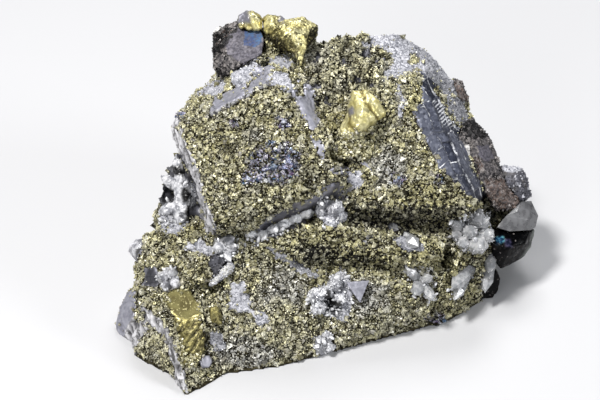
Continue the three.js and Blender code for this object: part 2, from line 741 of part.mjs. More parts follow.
let sockets = null;
for (const [name, shapes, finish] of seated) {
  let solid = joined(shapes, solidOf).subtract(ground);
  if (sockets) {
    solid = largestPiece(solid.subtract(sockets));
  }
  specimen.add(meshOf(name, solid, finish));
  const socket = joined(shapes, socketOf);
  sockets = sockets ? sockets.add(socket) : socket;
}

const mass = joined(massShapes, solidOf)
  .subtract(joined(gaps, solidOf))
  .subtract(sockets)
  .subtract(ground);
specimen.add(meshOf("galena_mass", largestPiece(mass), CRUST));

// Stand the whole piece on its foot, centred on the origin.
const box = new THREE.Box3().setFromObject(specimen);
const centre = box.getCenter(new THREE.Vector3());
specimen.position.set(-centre.x, -centre.y, -box.min.z);

export default specimen;
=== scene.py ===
import math
import random
from types import SimpleNamespace

import bmesh
import bpy
import numpy as np
from mathutils import Euler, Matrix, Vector, noise
from mathutils.bvhtree import BVHTree


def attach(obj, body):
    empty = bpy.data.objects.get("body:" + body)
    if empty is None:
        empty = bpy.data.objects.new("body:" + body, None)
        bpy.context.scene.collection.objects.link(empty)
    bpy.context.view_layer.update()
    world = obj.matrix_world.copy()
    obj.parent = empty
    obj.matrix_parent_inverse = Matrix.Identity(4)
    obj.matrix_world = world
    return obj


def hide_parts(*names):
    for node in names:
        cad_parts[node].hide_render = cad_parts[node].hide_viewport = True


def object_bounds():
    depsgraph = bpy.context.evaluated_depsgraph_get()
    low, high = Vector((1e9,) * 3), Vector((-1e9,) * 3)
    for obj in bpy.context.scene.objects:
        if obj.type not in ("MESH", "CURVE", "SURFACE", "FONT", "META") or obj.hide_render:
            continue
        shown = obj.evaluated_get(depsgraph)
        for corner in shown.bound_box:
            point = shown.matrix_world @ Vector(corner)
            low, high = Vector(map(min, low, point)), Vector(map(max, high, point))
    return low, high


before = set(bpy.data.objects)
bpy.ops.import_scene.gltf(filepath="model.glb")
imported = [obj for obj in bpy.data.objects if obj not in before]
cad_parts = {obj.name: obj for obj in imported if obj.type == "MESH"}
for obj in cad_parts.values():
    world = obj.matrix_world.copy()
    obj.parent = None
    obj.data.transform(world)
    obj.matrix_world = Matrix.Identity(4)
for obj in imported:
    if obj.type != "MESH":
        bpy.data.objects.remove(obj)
cad_low, cad_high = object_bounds()

# ---- the table, the lights and the view ----
# The specimen stands by itself on a plain pale table. Its crusted front leans back by LEAN, and the
# camera looks straight at it. One large lamp hangs over it to the left, and weaker ones fill in.

MM = 0.001
LEAN = math.radians(35)
OUT = Vector((0, -math.cos(LEAN), math.sin(LEAN)))
FRONT_MIDDLE = cad_low + Vector((53.2, 40.247, 30.1)) * MM
AIM = FRONT_MIDDLE + Vector((-6.25, 0, 0)) * MM
VIEW_WIDTH = 150 * MM
LENS = 150
TABLE_RADIUS = 2.5

camera = bpy.data.objects.new("camera", bpy.data.cameras.new("camera"))
camera.data.lens = LENS
camera.location = AIM + OUT * VIEW_WIDTH * LENS / camera.data.sensor_width
camera.rotation_euler = OUT.to_track_quat("Z", "Y").to_euler()
bpy.context.collection.objects.link(camera)
bpy.context.scene.camera = camera
bpy.context.scene.view_settings.view_transform = "Standard"


def linear(red, green, blue):
    """A colour given as the eye sees it, 0 to 255, in the light values that shaders take."""
    seen = (red, green, blue)
    return (*(((c / 255 + 0.055) / 1.055) ** 2.4 if c > 10 else c / 3294.6 for c in seen), 1)


def new_material(name):
    """A material with an empty Principled shader, and its node tree."""
    material = bpy.data.materials.new(name)
    material.use_nodes = True
    return material, material.node_tree, material.node_tree.nodes["Principled BSDF"]


def join(tree, node, sockets):
    """Sets sockets of a node, or joins them to other nodes."""
    for name, value in sockets.items():
        if isinstance(value, bpy.types.NodeSocket):
            tree.links.new(value, node.inputs[name])
        else:
            node.inputs[name].default_value = value


def new_piece(name, shape, material=None):
    """A bmesh as an object of the scene."""
    mesh = bpy.data.meshes.new(name)
    shape.to_mesh(mesh)
    shape.free()
    piece = bpy.data.objects.new(name, mesh)
    bpy.context.collection.objects.link(piece)
    if material:
        mesh.materials.append(material)
    return piece


table_finish, tree, shader = new_material("pale_table")
join(tree, shader, {"Base Color": linear(180, 180, 182), "Roughness": 0.7})
shape = bmesh.new()
bmesh.ops.create_circle(shape, cap_ends=True, segments=64, radius=TABLE_RADIUS)
new_piece("table", shape, table_finish)

for name, place, size, power, colour in (
    ("key", (-0.26, -0.20, 0.74), 0.14, 9.2, (1.0, 0.99, 0.97)),
    ("front", (-0.30, -0.75, 0.40), 0.30, 2.2, (1.0, 1.0, 1.0)),
    ("right", (0.70, -0.25, 0.38), 0.24, 3.2, (0.96, 0.98, 1.0)),
    ("back", (0.05, 0.42, 0.60), 0.26, 3.0, (1.0, 1.0, 1.0)),
):
    lamp = bpy.data.objects.new(name, bpy.data.lights.new(name, "AREA"))
    lamp.data.size = size
    lamp.data.energy = power
    lamp.data.color = colour
    lamp.location = place
    lamp.rotation_euler = (Vector(place) - AIM).to_track_quat("Z", "Y").to_euler()
    bpy.context.collection.objects.link(lamp)

world = bpy.data.worlds.new("room")
bpy.context.scene.world = world
world.use_nodes = True
join(world.node_tree, world.node_tree.nodes["Background"], {"Color": (0.8, 0.88, 1.0, 1), "Strength": 0.10})

# ---- the galena mass ----
# Intergrown cubes of galena, lead grey and metallic, broken out of the vein as one lump. Where the
# crust has come off it shows flat cleavage in steps; the rest is granular and seamed with white.

UP = Vector((0, math.sin(LEAN), math.cos(LEAN)))   # up the slope of the front
SKIN = 0.70 * MM           # size of the faces that the lump's surface is made of
BARE_SKIN_CUTS = 1         # the flat bare places are cut finer by this
SHARP = math.radians(38)   # edges that turn by more than this look sharp
SEAT_REACH = 0.8           # within this many millimetres of a seated crystal the ground closes up to it
SEAT_CLEARANCE = 0.08      # and leaves this gap
CLEAVAGE = Euler((-0.1, 0.12, 0.2))   # how the cleavage planes are turned
STEP_SIZES = ((9.0, 7.5, 8.2, 0.8), (3.6, 2.9, 3.2, 0.45), (1.5, 1.9, 1.7, 0.18))   # three sides, then rise
FIBRE_WAY = (0.35, 0.94)   # the way the flaky parts are drawn out, across and down the front
LEVELS = {                 # how far each kind of ground lies out from the lump, in millimetres
    "broken": -0.35, "crust": -0.65, "bare": -0.45, "flaky": -0.35, "sugar": -0.3, "slate": -0.1,
}
ROUGH_RISE = 3.2           # height of the lumps in the rough part
CLUMP_RISE = 1.1           # height of the clumps in the crust
LACE_RISE = 0.9            # height of the white lace
CRACK_DEPTH = 1.7          # depth of the cracks in the crust
CAVE_DEPTH = 0.8           # depth of the black holes

# Outlines on the front, in millimetres across and up its slope from the middle.
BARE = (                   # flat cleavage without crust
    ((-29, 21.4), (-27.5, 25.2), (-23.2, 28), (-18.8, 30.8), (-15.8, 33.6), (-13, 34.6), (-13, 30.6),
     (-16.6, 28.2), (-21.2, 25.6), (-25, 23)),
    ((-8.4, 27.4), (-6.4, 30.4), (-2.6, 29), (-2.2, 24), (-1.2, 20), (-2, 16.6), (-4.4, 18), (-6.6, 22.4)),
    ((-4.4, 15.6), (-2.2, 15.6), (0.2, 11.6), (-0.4, 9.4), (-2, 12.2)),
    ((0.2, 7.4), (4, 8.8), (6.4, 7.6), (5.4, 6.2), (2.4, 6)),
    ((8.8, 9.6), (11, 9.2), (11.6, 7.4), (9.8, 7.4)),
    ((-56, -33), (-51, -21), (-48.4, -16), (-47.6, -25), (-48.2, -30), (-47.4, -34), (-48.4, -40),
     (-54, -40)),
    ((-45.8, -17), (-43.2, -16.2), (-41, -18.2), (-40.4, -21), (-45, -21.2)),
)
SUGAR = (                  # ground of fine white grains
    ((17.6, 29.6), (19.2, 29.4), (19.8, 25), (19.4, 20), (18.2, 21), (18.4, 25)),
    ((-28.2, -32), (-25.6, -33.2), (-24.4, -36.4), (-26.6, -37.4), (-28.2, -35)),
    ((-34.8, -10.4), (-31, -10.2), (-28.4, -12.4), (-29, -13.8), (-32, -12.4), (-35, -12.2)),
    ((9, 40.2), (11, 40.6), (12.4, 39.2), (10.6, 38.8)),
    ((10, 43), (13.4, 38.4), (17, 37.6), (17.2, 34), (15, 32.4), (14.4, 29.6), (19.6, 31.4), (24.2, 32.6),
     (27, 30.2), (30.8, 27.4), (33.4, 30), (31, 34.4), (26, 39.4), (18.5, 44)),
    ((30.2, 28), (33.2, 30), (35.4, 27), (36.6, 23), (37.2, 20), (35, 18.6), (33, 21), (30.6, 24.4)),
    ((-23, 29.8), (-21.2, 33), (-18, 35.6), (-16.2, 34.6), (-17, 31.8), (-19.4, 29.6), (-22, 28)),
    ((-34, 26.4), (-29, 30), (-25.2, 30.6), (-24.4, 28.4), (-27, 25.8), (-30, 26.4)),
    ((-13.2, 29.2), (-12.4, 32.2), (-9, 31.6), (-7.4, 28), (-9, 26.2)),
    ((-14.6, 35.6), (-9, 37), (-8, 34.6), (-9.6, 33), (-13, 33.6)),
    ((6.4, 7.2), (9.2, 7.4), (9.4, 4.4), (7.8, 2.6), (6, 4.6)),
    ((-23.2, -20.4), (-20.2, -20.2), (-18.8, -24), (-18, -27.6), (-22.4, -27.8), (-24.6, -26),
     (-23.6, -24)),
    ((-18.2, -27.6), (-14.4, -27.4), (-13.8, -29.4), (-15, -31.2), (-17.2, -30.6)),
    ((-14, -11.2), (-12.4, -12.6), (-9, -14.8), (-5, -16.2), (-1.6, -17.8), (-1.2, -19.8), (-4.2, -19.2),
     (-8, -16.8), (-12, -14.2), (-14.6, -12.4)),
    ((-2.8, -22), (0, -20.4), (1.6, -19.2), (4, -16.6), (6.2, -20), (6.8, -25), (5.8, -30.4), (3.6, -30.4),
     (2, -29.4), (-2.8, -28)),
    ((-2.8, -34.4), (0, -32.4), (2, -34.4), (1.8, -36.8), (0.4, -38.8), (-2.6, -38)),
    ((-42, -7), (-36, -9), (-34.6, -5), (-38.4, -1), (-42, -2)),
    ((16.4, -8.8), (20, -8.6), (25, -11), (24, -13), (20, -12.2)),
    ((-31, -9), (-29, -11.4), (-24, -11.4), (-26, -14), (-32.6, -12.6)),
)
SLATE = (                  # the slate-blue cleavage face
    ((24, 33), (27.6, 30.8), (28.4, 26.8), (30.2, 24), (32.4, 20.6), (34.6, 17.6), (36, 13.6), (37.4, 8.6),
     (40.4, 3.8), (41.4, 1), (39.4, -1), (35.8, 1), (31.2, 6.2), (27.8, 8.8), (26.4, 12.4), (24.4, 15.8),
     (22.2, 22.2), (24.6, 24.8), (24.4, 29)),
)
SLATE_START = (25.5, 30.5)             # upper end of the slate-blue face's long axis
SLATE_WAY = (0.423, -0.906)            # and the way it runs down
SLATE_BANDS = (                        # from and to across that axis, then where each band is cut
    (-9.0, -3.7, (0, 6.3, 13.2, 17.6, 21.3, 26.0)),
    (-3.7, -1.3, (0, 5.2, 13.6, 16.4, 21.8, 25.4, 29.6)),
    (-1.3, 0.7, (0, 5.8, 7.2, 14.6, 27.2, 30.4)),
    (0.7, 2.2, (0, 4.4, 8.4, 12.6, 18.0, 24.6, 31.0)),
    (2.2, 9.0, (0, 3.0, 9.4, 14.0, 20.2, 28.0)),
)
SLATE_STEP = 0.5                       # height between the highest and the lowest plate
LADDER = (                 # where short pale rungs of painted highlight cross it
    (28, 24.8), (30.8, 25.6), (35.2, 20.2), (34, 18.4), (30.2, 18.8), (28.8, 20.8))
LUMPY = (                  # golden lumps with deep crevices between them
    (-5, 28), (-3.4, 33), (-4.6, 40), (4, 42), (12, 41), (16, 35), (14, 30), (15, 25), (12.4, 28),
    (6.6, 27.4), (2, 22), (-0.6, 22))
FLAKY = (                  # thin flakes and fibres, down the left side and along the pale seams
    ((-39.6, 20), (-37.2, 21.6), (-36, 18), (-34.6, 14), (-31.4, 8.4), (-29.8, 1), (-27.4, -5), (-26.6, -9),
     (-29.6, -9), (-32.6, 0), (-36, 9), (-39.6, 15)),
    ((-50.4, -33), (-48.6, -29.6), (-45.4, -30), (-43.6, -31.8), (-46.4, -34), (-47.4, -40), (-51, -38)),
    ((-28.8, 20.4), (-24, 22.8), (-19, 25.4), (-15.8, 27.6), (-13, 29.4), (-12.8, 30.2), (-16.4, 28.2),
     (-19.4, 26.2), (-24.4, 23.8), (-29, 21.4)),
    ((1.6, -1.2), (4.2, 1.4), (7, 4), (8, 3.4), (5, 0.6), (2.6, -1.6)),
    ((-46, -27.4), (-44.4, -26.4), (-39.8, -30), (-37.6, -33.4), (-36.2, -38), (-34.8, -42), (-33.2, -47),
     (-36.4, -46.4), (-37.8, -42), (-39, -36.4), (-41, -32.8), (-45, -30)),
)
LACE = (                   # thin white walls round the holes on the left
    ((-36.2, 4), (-34.4, 4.6), (-32.6, 3.4), (-32, 0.6), (-33, -1.8), (-34.6, -2.8), (-34.4, -2),
     (-33.2, -0.6), (-33, 1.6), (-33.8, 3), (-35, 3.4)),
    ((-40.4, 4.2), (-38.4, 4.4), (-37, 2.6), (-37.2, 0), (-38.4, -1.4), (-40.4, -1.8), (-41.6, 0),
     (-41, 0.4), (-39.8, -0.8), (-38.4, 0), (-38, 1.8), (-39, 3.2), (-40.6, 3.2)),
    ((-41.6, -2.4), (-39, -2.2), (-37, -3.6), (-35, -6.6), (-36.6, -7), (-39, -5), (-41, -4.6)),
    ((-39.4, 8.2), (-37.4, 8.8), (-35.4, 7.2), (-35.8, 5.4), (-37.6, 5.2), (-39, 6.2)),
)
CRUST_ISLANDS = (          # crust on the bare parts
    ((20.8, 34.4), (22.6, 37.6), (24.8, 37), (24.4, 34.6)),
    ((-7, 29.4), (-5.2, 29.6), (-4.8, 25.8), (-6.6, 25.6)),
    ((-20.6, 28), (-17.4, 31.4), (-16.6, 31.6), (-19.6, 28.2)),
)
TARNISH = (                # crust under a blue and violet film
    ((-18, 11), (-14.5, 14.4), (-9.5, 14), (-6, 10.8), (-6.2, 7), (-10, 4.4), (-15, 4.2), (-20.6, 3.2),
     (-20, 6.8)),
    ((15.4, 4.2), (17, 6.8), (20, 6.2), (19.4, 4)),
    ((-12.6, 20.4), (-9, 20.6), (-8, 17.6), (-11, 17.4)),
    ((-24, 20), (-22, 20.6), (-21.6, 18.6), (-23.6, 18.2)),
    ((26.4, 4.4), (27.8, 6.4), (30, 5), (28.2, 3.6)),
    ((25.6, -29.4), (28, -28.6), (31, -30), (29, -32.6), (26, -31.4)),
    ((32.6, -22), (36, -22), (35.4, -25), (33, -25)),
    ((-38.6, 20), (-37.4, 22.6), (-35, 22.2), (-35.4, 19.8)),
    ((9.6, -8.4), (11.6, -8.2), (11.4, -10), (9.8, -10)),
)
SILVER = (                 # crust gone silvery
    ((18.4, 30), (20, 29.4), (20, 26), (19, 22), (17.4, 20), (17.6, 24)),
    ((2, 28.8), (5.6, 29), (5.4, 26.4), (2.4, 26.2)),
    ((-6, 39.6), (-1, 39.6), (1, 36), (-1, 32), (-5, 33.6)),
    ((14.6, 35.4), (17.6, 35.6), (17.2, 30.6), (14.6, 30.4)),
    ((-14, -15), (-4, -19), (-6, -26), (-14, -24)),
    ((11, 10.4), (16, 13.4), (21, 10), (20, 5), (13, 2.6)),
    ((-20.4, 17), (-18, 18.4), (-15.6, 16), (-17.4, 13.8), (-20, 14.6)),
    ((-17, -21), (-12, -21.4), (-12.6, -27), (-16.6, -26.4)),
    ((5.6, -25), (10, -19.6), (16, -20.4), (16.6, -27), (8, -30)),
    ((-28, -34), (-18, -33), (-10, -38), (-18, -43), (-27, -40)),
)
GOLDEN = (                 # crust of a deeper gold
    ((-0.6, 40.6), (4.6, 40.6), (5, 37.6), (1, 37)),
    ((-36, -6.4), (-30, -6.6), (-30, -8.8), (-36, -8.8)),
    ((-4, -6), (4, -8), (16, -12), (28, -9), (30, -15), (18, -17), (2, -17), (-6, -13)),
    ((18, 8), (26, 6), (36, -1), (28, -3), (16, -1)),
    ((26, -14), (34, -14), (40, -16), (39, -24), (36, -29), (28, -33), (24, -30), (30, -22)),
    ((10, 36), (14, 38), (17, 34), (15, 28), (11, 30)),
    ((20, 27), (24.4, 31), (27, 28), (24, 20), (20, 22)),
)
CLEFTS = (                 # how far the lump is filled up, in millimetres, and where
    (1.3, ((-47.4, -20.6), (-43.6, -20.8), (-43, -26.4), (-46.4, -27.4))),
    (2.6, ((-24.2, -13.4), (-20.8, -13.4), (-20.4, -17), (-23.8, -17.2))),
    (2.2, ((-23.6, 30.6), (-21, 33.6), (-17, 35.6), (-14.8, 36), (-16.6, 32.6), (-19.6, 30.4),
           (-22.4, 29))),
)
BROKEN = (                 # broken galena without crust
    ((-42, -4), (-31, -4), (-32.6, 4), (-36, 11), (-39, 13.4), (-43, 6)),
    ((-19, -8), (-12, -3.4), (-4, 0.2), (2, 3.8), (5.4, 3.6), (2, -1.6), (-6, -5.5), (-17, -11)),
)
DULL_AND_SHADE = (                   # how dark, and where: dull ground, and painted shade under overhangs, in the valley and holes
    (1, ((4, -2.2), (14, -2.2), (30, -1.8), (38, -3), (34, -7), (30, -8.4), (24, -8.4), (14, -7.4),
         (5, -5.4))),
    (1, ((-8, -11.4), (0, -11.4), (9, -14), (20, -16.8), (12, -17), (0, -16.8), (-8, -16))),
    (1, ((-19, -9), (-10, -4.6), (-2, -0.4), (4, 4), (2.4, -2), (-6, -5.8), (-17, -11))),
    (1, ((38.6, 0.8), (41, 2.6), (46, 0.4), (50, -1.8), (47, -3.4), (44, -6), (40.6, -6.4), (38.6, -3))),
    (1, ((-45.8, -17), (-43.2, -16.2), (-41, -18.2), (-40.4, -21), (-45, -21.2))),
    (1, ((-42, -4), (-31, -4), (-32.6, 4), (-36, 11), (-39, 13.4), (-43, 6))),
    (1, ((-2, -23.6), (1.6, -22.8), (2.8, -25.4), (1, -28.2), (-1.8, -27))),
    (0.5, ((-28.2, -32), (-25.6, -33.2), (-24.4, -36.4), (-26.6, -37.4), (-28.2, -35))),
    (0.75, ((-14, -11.2), (-9, -14.8), (-1.6, -17.8), (-1.2, -19.8), (-8, -16.8), (-14.6, -12.4))),
    (0.35, ((17, 44), (24, 40.5), (30, 35), (33, 31), (30.6, 28), (26, 34), (22, 37.6))),
    (0.55, ((26.2, 34.5), (32.5, 30.2), (30.6, 28.2), (27, 28.8), (25.8, 32))),
    (0.5, ((30.8, 27.2), (33.2, 29), (36.2, 25), (37, 19.5), (34.2, 19), (31.2, 23.6))),
    (1, ((26.8, 28.6), (30.6, 28.3), (33.4, 31.4), (33.8, 30.4), (30.9, 27.4), (26.8, 27.8))),
    (0.35, ((0, 8), (4, 9.8), (12, 10.4), (12, 5.6), (9.8, 3.8), (9.6, 7.6), (6.2, 7.6), (2, 5.6))),
    (0.35, ((-29, -5), (-14, 4), (0, 8.4), (2.4, 4), (-12, -6), (-26, -10))),
    (0.4, ((10, 0), (22, 4), (36, 8), (39, 0), (30, -3), (12, -3))),
    (0.35, ((-6, -7), (18, -8), (26, -11), (22, -15), (2, -15), (-8, -12))),
    (0.3, ((26, -12), (42, -14), (40, -26), (30, -30), (24, -24))),
)
CAVES = (                  # holes among the quartz, painted black as shade
    ((0.2, -21.8), (1.4, -22), (2, -24.4), (4.4, -25.2), (4, -28.8), (1.6, -30), (-0.4, -28.6),
     (0.6, -26.4), (-0.2, -24)),
    ((-40.2, 3), (-38.6, 3.4), (-37.8, 1.6), (-38.6, 0), (-40, -0.2), (-40.6, 1.4)),
    ((-35.8, 3.2), (-34.2, 3.4), (-33.4, 1.4), (-34, -0.6), (-35.4, -1), (-36.2, 1)),
    ((-38.8, 8.6), (-36, 8.8), (-35, 6.4), (-36.6, 6), (-38.6, 6.4)),
    ((-34.8, -1.6), (-32.6, -1.4), (-32, -4.4), (-34, -5.2), (-35, -3.4)),
)


def solid_copy(nodes):
    """CAD solids as one bmesh, their loose triangles merged."""
    shape = bmesh.new()
    for node in nodes:
        shape.from_mesh(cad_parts[node].data)
    bmesh.ops.remove_doubles(shape, verts=shape.verts, dist=1e-7)
    return shape


def settle(piece):
    """Makes a piece's modifiers final."""
    made = bpy.data.meshes.new_from_object(piece.evaluated_get(bpy.context.evaluated_depsgraph_get()))
    piece.modifiers.clear()
    piece.data = made
    return piece


def even_skin(piece, size):
    """Gives a piece an even skin of small faces."""
    skin = piece.modifiers.new("skin", "REMESH")
    skin.mode = "VOXEL"
    skin.voxel_size = size
    return settle(piece)


def survey(piece):
    """Where a piece's points are, in millimetres: in the room, and across, up and out from the front."""
    count = len(piece.data.vertices)
    at = np.empty(count * 3, np.float32)
    normal = np.empty(count * 3, np.float32)
    piece.data.vertices.foreach_get("co", at)
    piece.data.vertex_normals.foreach_get("vector", normal)
    at = at.reshape(-1, 3) / MM
    normal = normal.reshape(-1, 3)
    from_middle = at - np.array(FRONT_MIDDLE) / MM
    return SimpleNamespace(
        at=at,
        normal=normal,
        across=from_middle[:, 0],
        up=from_middle @ np.array(UP),
        out=from_middle @ np.array(OUT),
        facing=normal @ np.array(OUT),
    )


def move_out(piece, land, height):
    """Moves each point of a piece along its normal by a height in millimetres, none below the table."""
    at = (land.at + land.normal * height[:, None]) * MM
    at[:, 2] = np.maximum(at[:, 2], 0)
    piece.data.vertices.foreach_set("co", at.astype(np.float32).ravel())
    piece.data.update()


def mark(piece, name, values):
    """Keeps a value for each point of a piece, for its material and for what grows on it."""
    layer = piece.data.attributes.new(name, "FLOAT", "POINT")
    layer.data.foreach_set("value", values.astype(np.float32))


def smooth(piece):
    """Shades a piece smooth, but for its sharp edges."""
    piece.data.shade_smooth()
    piece.data.set_sharp_from_angle(angle=SHARP)


def soft_step(values, low, high):
    """0 below one value and 1 above another, with a soft rise between."""
    share = np.clip((values - low) / (high - low), 0, 1)
    return share * share * (3 - 2 * share)


def lumps(land, size, seed=0.0, octaves=3):
    """Soft noise over a piece, about -1 to 1, with lumps of one size in millimetres."""
    shift = Vector((seed * 7.3, seed * 3.1, seed * 5.7))
    return np.array([noise.fractal(Vector(p) / size + shift, 1.0, 2.0, octaves) for p in land.at.tolist()])


def cleavage_steps(land):
    """The height of each point on a surface that broke along three sets of parallel planes."""
    turned = land.at @ np.array(CLEAVAGE.to_matrix())
    height = np.zeros(len(turned))
    for wide, deep, tall, rise in STEP_SIZES:
        size = np.array((wide, deep, tall))
        cell = np.floor(turned / size + 0.3 * np.sin(turned / size * 1.7 + rise * 9))
        level = np.abs(np.sin(cell @ np.array((12.99, 78.23, 37.72)) + rise) * 437.585) % 1
        height += (level - 0.5) * rise
    return height


def inside(land, outline, soft=0.5, stray=0.7):
    """How far each point is inside an outline on the front, 0 to 1, with a wavering edge."""
    across = land.across + land.stray_across * stray
    up = land.up + land.stray_up * stray
    nearest = np.full(len(across), 1e9)
    within = np.zeros(len(across), bool)
    for (x0, y0), (x1, y1) in zip(outline, outline[1:] + outline[:1]):
        side_x, side_y = x1 - x0, y1 - y0
        share = ((across - x0) * side_x + (up - y0) * side_y) / (side_x**2 + side_y**2)
        share = np.clip(share, 0, 1)
        nearest = np.minimum(nearest, np.hypot(across - x0 - share * side_x, up - y0 - share * side_y))
        if y0 != y1:
            crosses = (up < y0) != (up < y1)
            within ^= crosses & (across < x0 + (up - y0) * side_x / side_y)
    return soft_step(np.where(within, nearest, -nearest), -soft, soft) * land.seen


def inside_any(land, outlines, soft=0.5, stray=0.7):
    """How far each point is inside any of some outlines."""
    return np.max([inside(land, outline, soft, stray) for outline in outlines], axis=0)


def prepare(land):
    """The noise that makes outlines waver, and the side of the piece that they lie on."""
    land.stray_across = lumps(land, 2.2, 1)
    land.stray_up = lumps(land, 2.2, 2)
    land.seen = soft_step(land.facing, -0.25, 0.0)


def terrace(land):
    """The plates of the slate-blue face: each point's plate, 0 to 1, its distance to the plate's edge and
    its place along the face, in millimetres."""
    along = (land.across - SLATE_START[0]) * SLATE_WAY[0] + (land.up - SLATE_START[1]) * SLATE_WAY[1]
    over = (land.up - SLATE_START[1]) * SLATE_WAY[0] - (land.across - SLATE_START[0]) * SLATE_WAY[1]
    along, over = along + 0.3 * np.sin(over * 1.1), over + 0.22 * np.sin(along * 0.6) + 0.15 * land.stray_up
    dice = random.Random(5)
    plate, edge = np.zeros(len(along)), np.full(len(along), 9.0)
    for low, high, cuts in SLATE_BANDS:
        levels = np.array([dice.random() for _ in range(len(cuts) + 1)])
        within = (over >= low) & (over < high)
        to_cut = np.min([np.abs(along - cut) for cut in cuts], axis=0)
        plate[within] = levels[np.searchsorted(cuts, along[within])]
        edge[within] = np.minimum(np.minimum(over - low, high - over), to_cut)[within]
    return plate, edge, along


def finder(shape):
    """A search tree for the nearest point of a bmesh, which is freed."""
    found = BVHTree.FromBMesh(shape)
    shape.free()
    return found


crystals_near = finder(solid_copy(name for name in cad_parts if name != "galena_mass"))
rock = even_skin(new_piece("galena_rock", solid_copy(["galena_mass"])), SKIN)
land = survey(rock)
prepare(land)
shows = inside_any(land, BARE + FLAKY + SLATE, soft=0.4) > 0
shape = bmesh.new()
shape.from_mesh(rock.data)
shape.verts.ensure_lookup_table()
fine_edges = [e for e in shape.edges if shows[e.verts[0].index] and shows[e.verts[1].index]]
bmesh.ops.subdivide_edges(shape, edges=fine_edges, cuts=BARE_SKIN_CUTS, use_grid_fill=True)
shape.to_mesh(rock.data)
shape.free()
land = survey(rock)
prepare(land)
kinds = {name: np.zeros(len(land.at)) for name in LEVELS}


def lay(kind, mask):
    """Covers the ground with one kind of surface where the mask says."""
    for share in kinds.values():
        share *= 1 - mask
    kinds[kind] += mask


coarse = lumps(land, 9, 3)
fine = lumps(land, 1.2, 4, 2)
lay("broken", np.ones(len(land.at)))
lay("crust", soft_step(land.facing + 0.35 * coarse, -0.3, 0.0))
lay("crust", soft_step(coarse, 0.28, 0.42) * soft_step(land.at[:, 2], 4, 9) * 0.9)
rough_zone = inside(land, LUMPY, soft=1.5)
rough = rough_zone * lumps(land, 3.0, 11)
lay("broken", soft_step(-rough, 0.2, 0.32))
for outlines, kind in ((BARE, "bare"), (FLAKY, "flaky"), (SUGAR, "sugar"), (SLATE, "slate"),
                       (CRUST_ISLANDS, "crust"), (BROKEN, "broken"), (LACE, "sugar")):
    for outline in outlines:
        lay(kind, inside(land, outline))

tone = {
    name: inside_any(land, outlines, soft=1.3, stray=1.2)
    for name, outlines in (("tarnish", TARNISH), ("silver", SILVER), ("golden", GOLDEN))
}
# Darkened places: partly the ground's own dullness, partly painted shade under overhangs, in the holes and
# in the rough hollows.
tone["dull"] = np.max(
    [amount * inside(land, outline, soft=1.0, stray=1.2) for amount, outline in DULL_AND_SHADE], axis=0)
caves = inside_any(land, CAVES, stray=0.4)
tone["dull"] = np.maximum(tone["dull"], caves)
tone["silver"] = np.maximum(tone["silver"], soft_step(lumps(land, 4, 5), 0.1, 0.4) * 0.55)
tone["golden"] = np.maximum(tone["golden"], soft_step(lumps(land, 5, 25), 0.1, 0.4) * 0.5)

clumps = lumps(land, 1.9, 6, 2)
cracks = soft_step(0.11 + 0.06 * rough_zone - np.abs(lumps(land, 4.5, 24)), 0, 0.09)
cracks *= 0.3 + 0.7 * rough_zone
low_front = soft_step(-land.up, 18, 28)
tone["silver"] = np.max([tone["silver"], 0.5 * soft_step(-rough, -0.05, 0.2), 0.35 * low_front], axis=0)
tone["golden"] = np.maximum(tone["golden"], soft_step(rough, 0.0, 0.25))
tone["dull"] = np.maximum(tone["dull"], 0.45 * soft_step(-rough, 0.2, 0.35))
# Painted light: the crust of the lumpy part is lightened, to make up for the shade it lies in.
tone["pale"] = rough_zone
plate, plate_edge, slate_along = terrace(land)
fibre_across, fibre_up = FIBRE_WAY
fibres = np.stack((
    (fibre_across * land.across - fibre_up * land.up) * 0.25,
    (fibre_up * land.across + fibre_across * land.up) * 1.2,
    land.out * 0.8,
), axis=1)
flakes = lumps(SimpleNamespace(at=fibres), 1.0, 12)
steps = cleavage_steps(land)
relief = (
    ROUGH_RISE * rough
    + kinds["crust"] * (
        LEVELS["crust"] + CLUMP_RISE * clumps + 0.6 * lumps(land, 5, 7) - CRACK_DEPTH * cracks)
    + kinds["bare"] * (LEVELS["bare"] + 0.12 * lumps(land, 3, 8))
    + kinds["sugar"] * (LEVELS["sugar"] + 0.3 * lumps(land, 1.2, 9))
    + kinds["slate"] * ((plate - 1) * SLATE_STEP + LEVELS["slate"] + 0.04 * lumps(land, 1.5, 13))
    + kinds["flaky"] * (LEVELS["flaky"] + 0.2 * flakes + 0.12 * np.round(flakes * 6) + 0.1 * fine)
    + kinds["broken"] * (LEVELS["broken"] + steps + 0.05 * lumps(land, 1.4, 10))
)
on_all_sides = SimpleNamespace(**{**vars(land), "seen": 1.0})
relief += sum(fill * inside(on_all_sides, outline, soft=0.8) for fill, outline in CLEFTS)
relief += LACE_RISE * inside_any(land, LACE, stray=0.4)
relief -= CAVE_DEPTH * caves
touching = [crystals_near.find_nearest(Vector(p) * MM, 2 * MM) for p in land.at.tolist()]
gap = np.array([hit[3] / MM if hit[0] else 2.0 for hit in touching])
seat = 1 - soft_step(gap, SEAT_REACH * 0.6, SEAT_REACH)
toward = np.array([(hit[0] - Vector(p) * MM).normalized() if hit[0] else (0, 0, 0)
                   for hit, p in zip(touching, land.at.tolist())])
foot = soft_step(land.at[:, 2], 0.2, 1.2)
move_out(rock, SimpleNamespace(
    at=land.at + toward * (seat * np.maximum(gap - SEAT_CLEARANCE, 0))[:, None],
    normal=land.normal,
), relief * (1 - seat) * foot)

# Painted shade: the crust grains are darkened in the hollows between clumps, in the rough hollows and in
# the cracks.
tone["hollow"] = np.max(
    [0.75 * soft_step(-clumps, 0.05, 0.45), 0.45 * soft_step(-rough, 0.1, 0.4), cracks], axis=0)
tone.update(plate=plate, plate_edge=plate_edge, slate_along=slate_along, ladder=inside(land, LADDER),
            flake=flakes, step=steps)
for name, values in {**kinds, **tone}.items():
    mark(rock, name, values)
smooth(rock)


